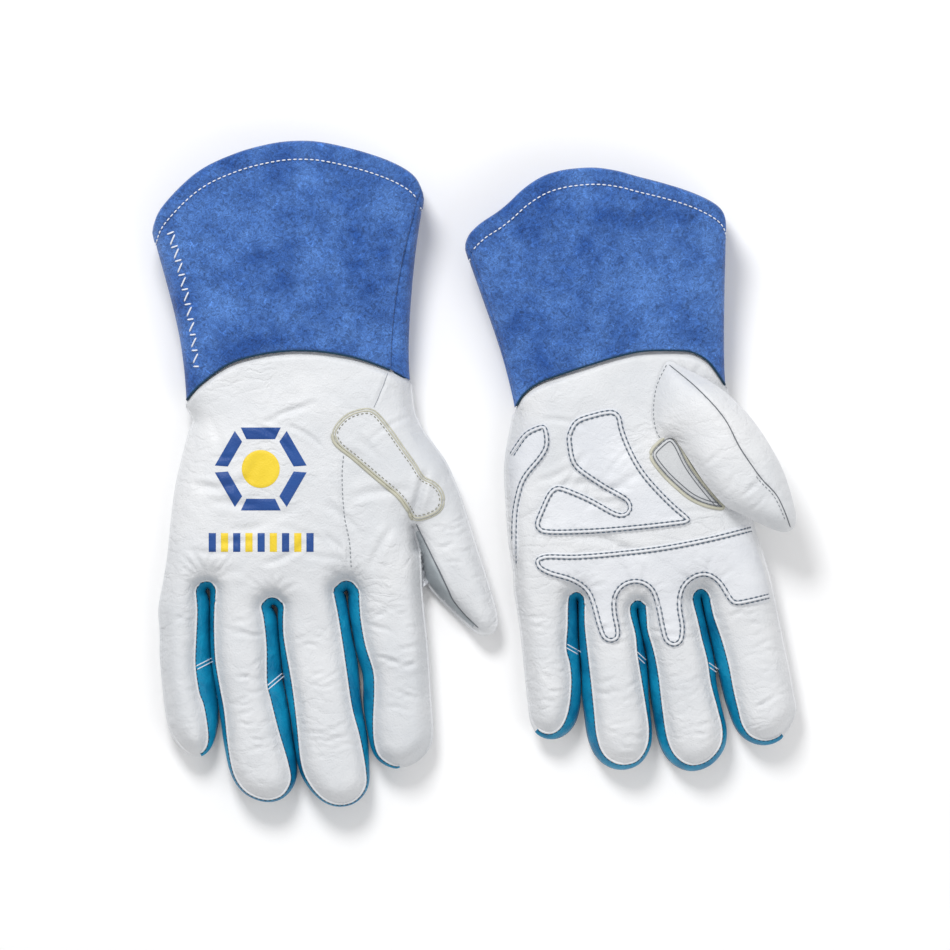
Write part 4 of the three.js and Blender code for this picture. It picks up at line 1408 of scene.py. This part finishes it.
THUMB_RING = [(95.8, 56.5), (104, 53.6), (115, 48), (125.2, 41.2), (133.8, 33), (141, 24.2), (148.2, 13),
              (154, 1.5), (158.2, -11.5), (160.2, -21), (159, -26.4), (154.8, -28.5), (148.2, -27),
              (139.5, -23), (131, -18.8), (125.2, -15.8), (119.5, -10), (113.7, -2.8), (108, 5.8),
              (102.2, 14.5), (98.6, 18.4), (92.4, 17.4), (89.6, 23), (88.5, 33), (90.3, 45)]
THUMB_SEAM_HEIGHT = 33.5
THUMB_CROWN, THUMB_PUFF = 35.5, 9.0     # height at the base, and how much more at the tip
THUMB_SHOULDER = 14.5
THUMB_BLEND_HEIGHT = 36.0
BESIDE_PALM, BESIDE_HEIGHT = 10.1, 24.0  # below the first, no palm is under the thumb: use the second
THUMB_BASE = [(95.8, 56.5), (90.3, 45), (88.5, 33), (89.6, 23), (92.4, 17.4)]
LEFT_THUMB_SEAM = [(97, 55), (111, 43), (123.8, 28.8), (132.4, 13), (142.4, -1.4), (149.5, -9),
                   (153.6, -16.5), (157.3, -26)]


def build_left_thumb():
    thumb = Finger(LEFT, "thumb")
    ring = resample_ring(catmull(THUMB_RING, closed=True))
    palm = tree_of(*LEFT["trees"][True])
    base = catmull(THUMB_BASE)
    draw = random.Random(31)
    folds = []
    for along in (14, 24, 37, 44):
        for _ in range(2):
            s = along + draw.uniform(-3, 3)
            a = draw.uniform(-14, 2)
            reach = draw.uniform(8, 15)
            line = [thumb.hinge + thumb.way * (s + 1.5 * math.sin(3 * t)) + thumb.side * (a + t * reach)
                    for t in np.linspace(0, 1, 7)]
            folds.append((line, draw.uniform(0.3, 0.7), draw.uniform(0.8, 1.4)))
    folds.append((catmull(LEFT_THUMB_SEAM), 1.0, 0.9))
    blend = thumb.blend(THUMB_BLEND_HEIGHT)
    for up, label, node in ((True, "palm_skin", "palm_leather"), (False, "back_skin", "back_leather")):
        verts, faces = triangulate(ring, GRID)
        distance = segment_distance(verts, ring, np.roll(ring, -1, axis=0))[0]
        from_base = segment_distance(verts, base[:-1], base[1:])[0]
        spread = smoothstep(from_base / 30)
        floor = surface_drop(palm, verts, 0.0)[:, 2]
        floor = np.where(floor <= BESIDE_PALM, BESIDE_HEIGHT, floor)
        floor = relax(floor, faces, np.zeros(len(verts), bool), 40)
        seam = floor + 0.3 + (THUMB_SEAM_HEIGHT - floor - 0.3) * spread
        rise = shoulder(distance, THUMB_SHOULDER)
        crown = THUMB_CROWN + THUMB_PUFF * spread if up else floor + 0.5
        z = seam + (crown - seam) * rise
        z = relax(z, faces, np.arange(len(verts)) < len(ring), 22)
        free = smoothstep(distance / 2.5)
        z += (0.5 * noise_at(verts, 22, 5.1) + 0.2 * noise_at(verts, 8, 2.2)) * free
        if up:
            for line, depth, width in folds:
                z += crease(verts, line, depth, width) * free
        else:
            faces = faces[:, ::-1]
            z = np.minimum(z, seam - 0.05 * (distance > 0.01))
        full = np.column_stack([verts, z])
        piece = put(f"left_thumb_{label}", full, faces, WHITE, "white_leather", blend,
                    vertex_normals(full, faces))
        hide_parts(f"left_thumb_{node}")
        if up:
            pillow = tree_of(full, faces)
    ridge = catmull(LEFT_THUMB_SEAM)
    seam = tube_mesh(surface_drop(pillow, resample(ridge, 60), 0.12), 0.3, 6)
    put("left_thumb_seam_line", *seam, SEAM_DARK, "white_leather", blend)
    rows = [FINE_STITCHES(surface_drop(pillow, line, 0.1))
            for line in (ridge[-26:-3] + (-1.2, -0.7), resample(base, 60)[2:-2] + (0.6, 0))]
    put("left_thumb_grey_thread", *join(rows), THREAD["grey"], "white_leather", blend)


build_left_thumb()


# ------------------------------------------------------------------ stage, lights and camera

def area_light(name, place, target, size, power):
    data = bpy.data.lights.new(name, "AREA")
    data.shape = "DISK"
    data.size = size
    data.energy = power
    lamp = bpy.data.objects.new(name, data)
    lamp.location = place
    lamp.rotation_euler = (Vector(target) - Vector(place)).to_track_quat("-Z", "Y").to_euler()
    bpy.context.scene.collection.objects.link(lamp)


def build_stage():
    mesh = bpy.data.meshes.new("floor")
    reach = 3.0
    mesh.from_pydata([(-reach, -reach, 0), (reach, -reach, 0), (reach, reach, 0), (-reach, reach, 0)], [],
                     [(0, 1, 2, 3)])
    look = bpy.data.materials.new("floor")
    look.use_nodes = True
    shader = look.node_tree.nodes["Principled BSDF"]
    shader.inputs["Base Color"].default_value = (0.93, 0.93, 0.935, 1)
    shader.inputs["Roughness"].default_value = 0.9
    mesh.materials.append(look)
    floor = bpy.data.objects.new("floor", mesh)
    bpy.context.scene.collection.objects.link(floor)
    world = bpy.data.worlds.new("studio")
    world.use_nodes = True
    sky = world.node_tree.nodes["Background"]
    sky.inputs["Color"].default_value = (1, 1, 1, 1)
    sky.inputs["Strength"].default_value = 0.6
    bpy.context.scene.world = world
    area_light("key", (-0.35, 0.95, 1.15), (0, 0, 0), 0.55, 15)
    area_light("fill", (0.9, -0.5, 1.3), (0, 0, 0), 1.2, 5)
    bpy.context.scene.view_settings.view_transform = "Standard"
    bpy.context.scene.view_settings.look = "None"


def build_camera():
    view_width = 0.475
    data = bpy.data.cameras.new("camera")
    data.lens = 480
    data.sensor_width = 36
    camera = bpy.data.objects.new("camera", data)
    distance = view_width * data.lens / data.sensor_width
    camera.location = (PLAN_SHIFT[0], PLAN_SHIFT[1], distance + 0.02)
    bpy.context.scene.collection.objects.link(camera)
    bpy.context.scene.camera = camera


build_stage()
build_camera()
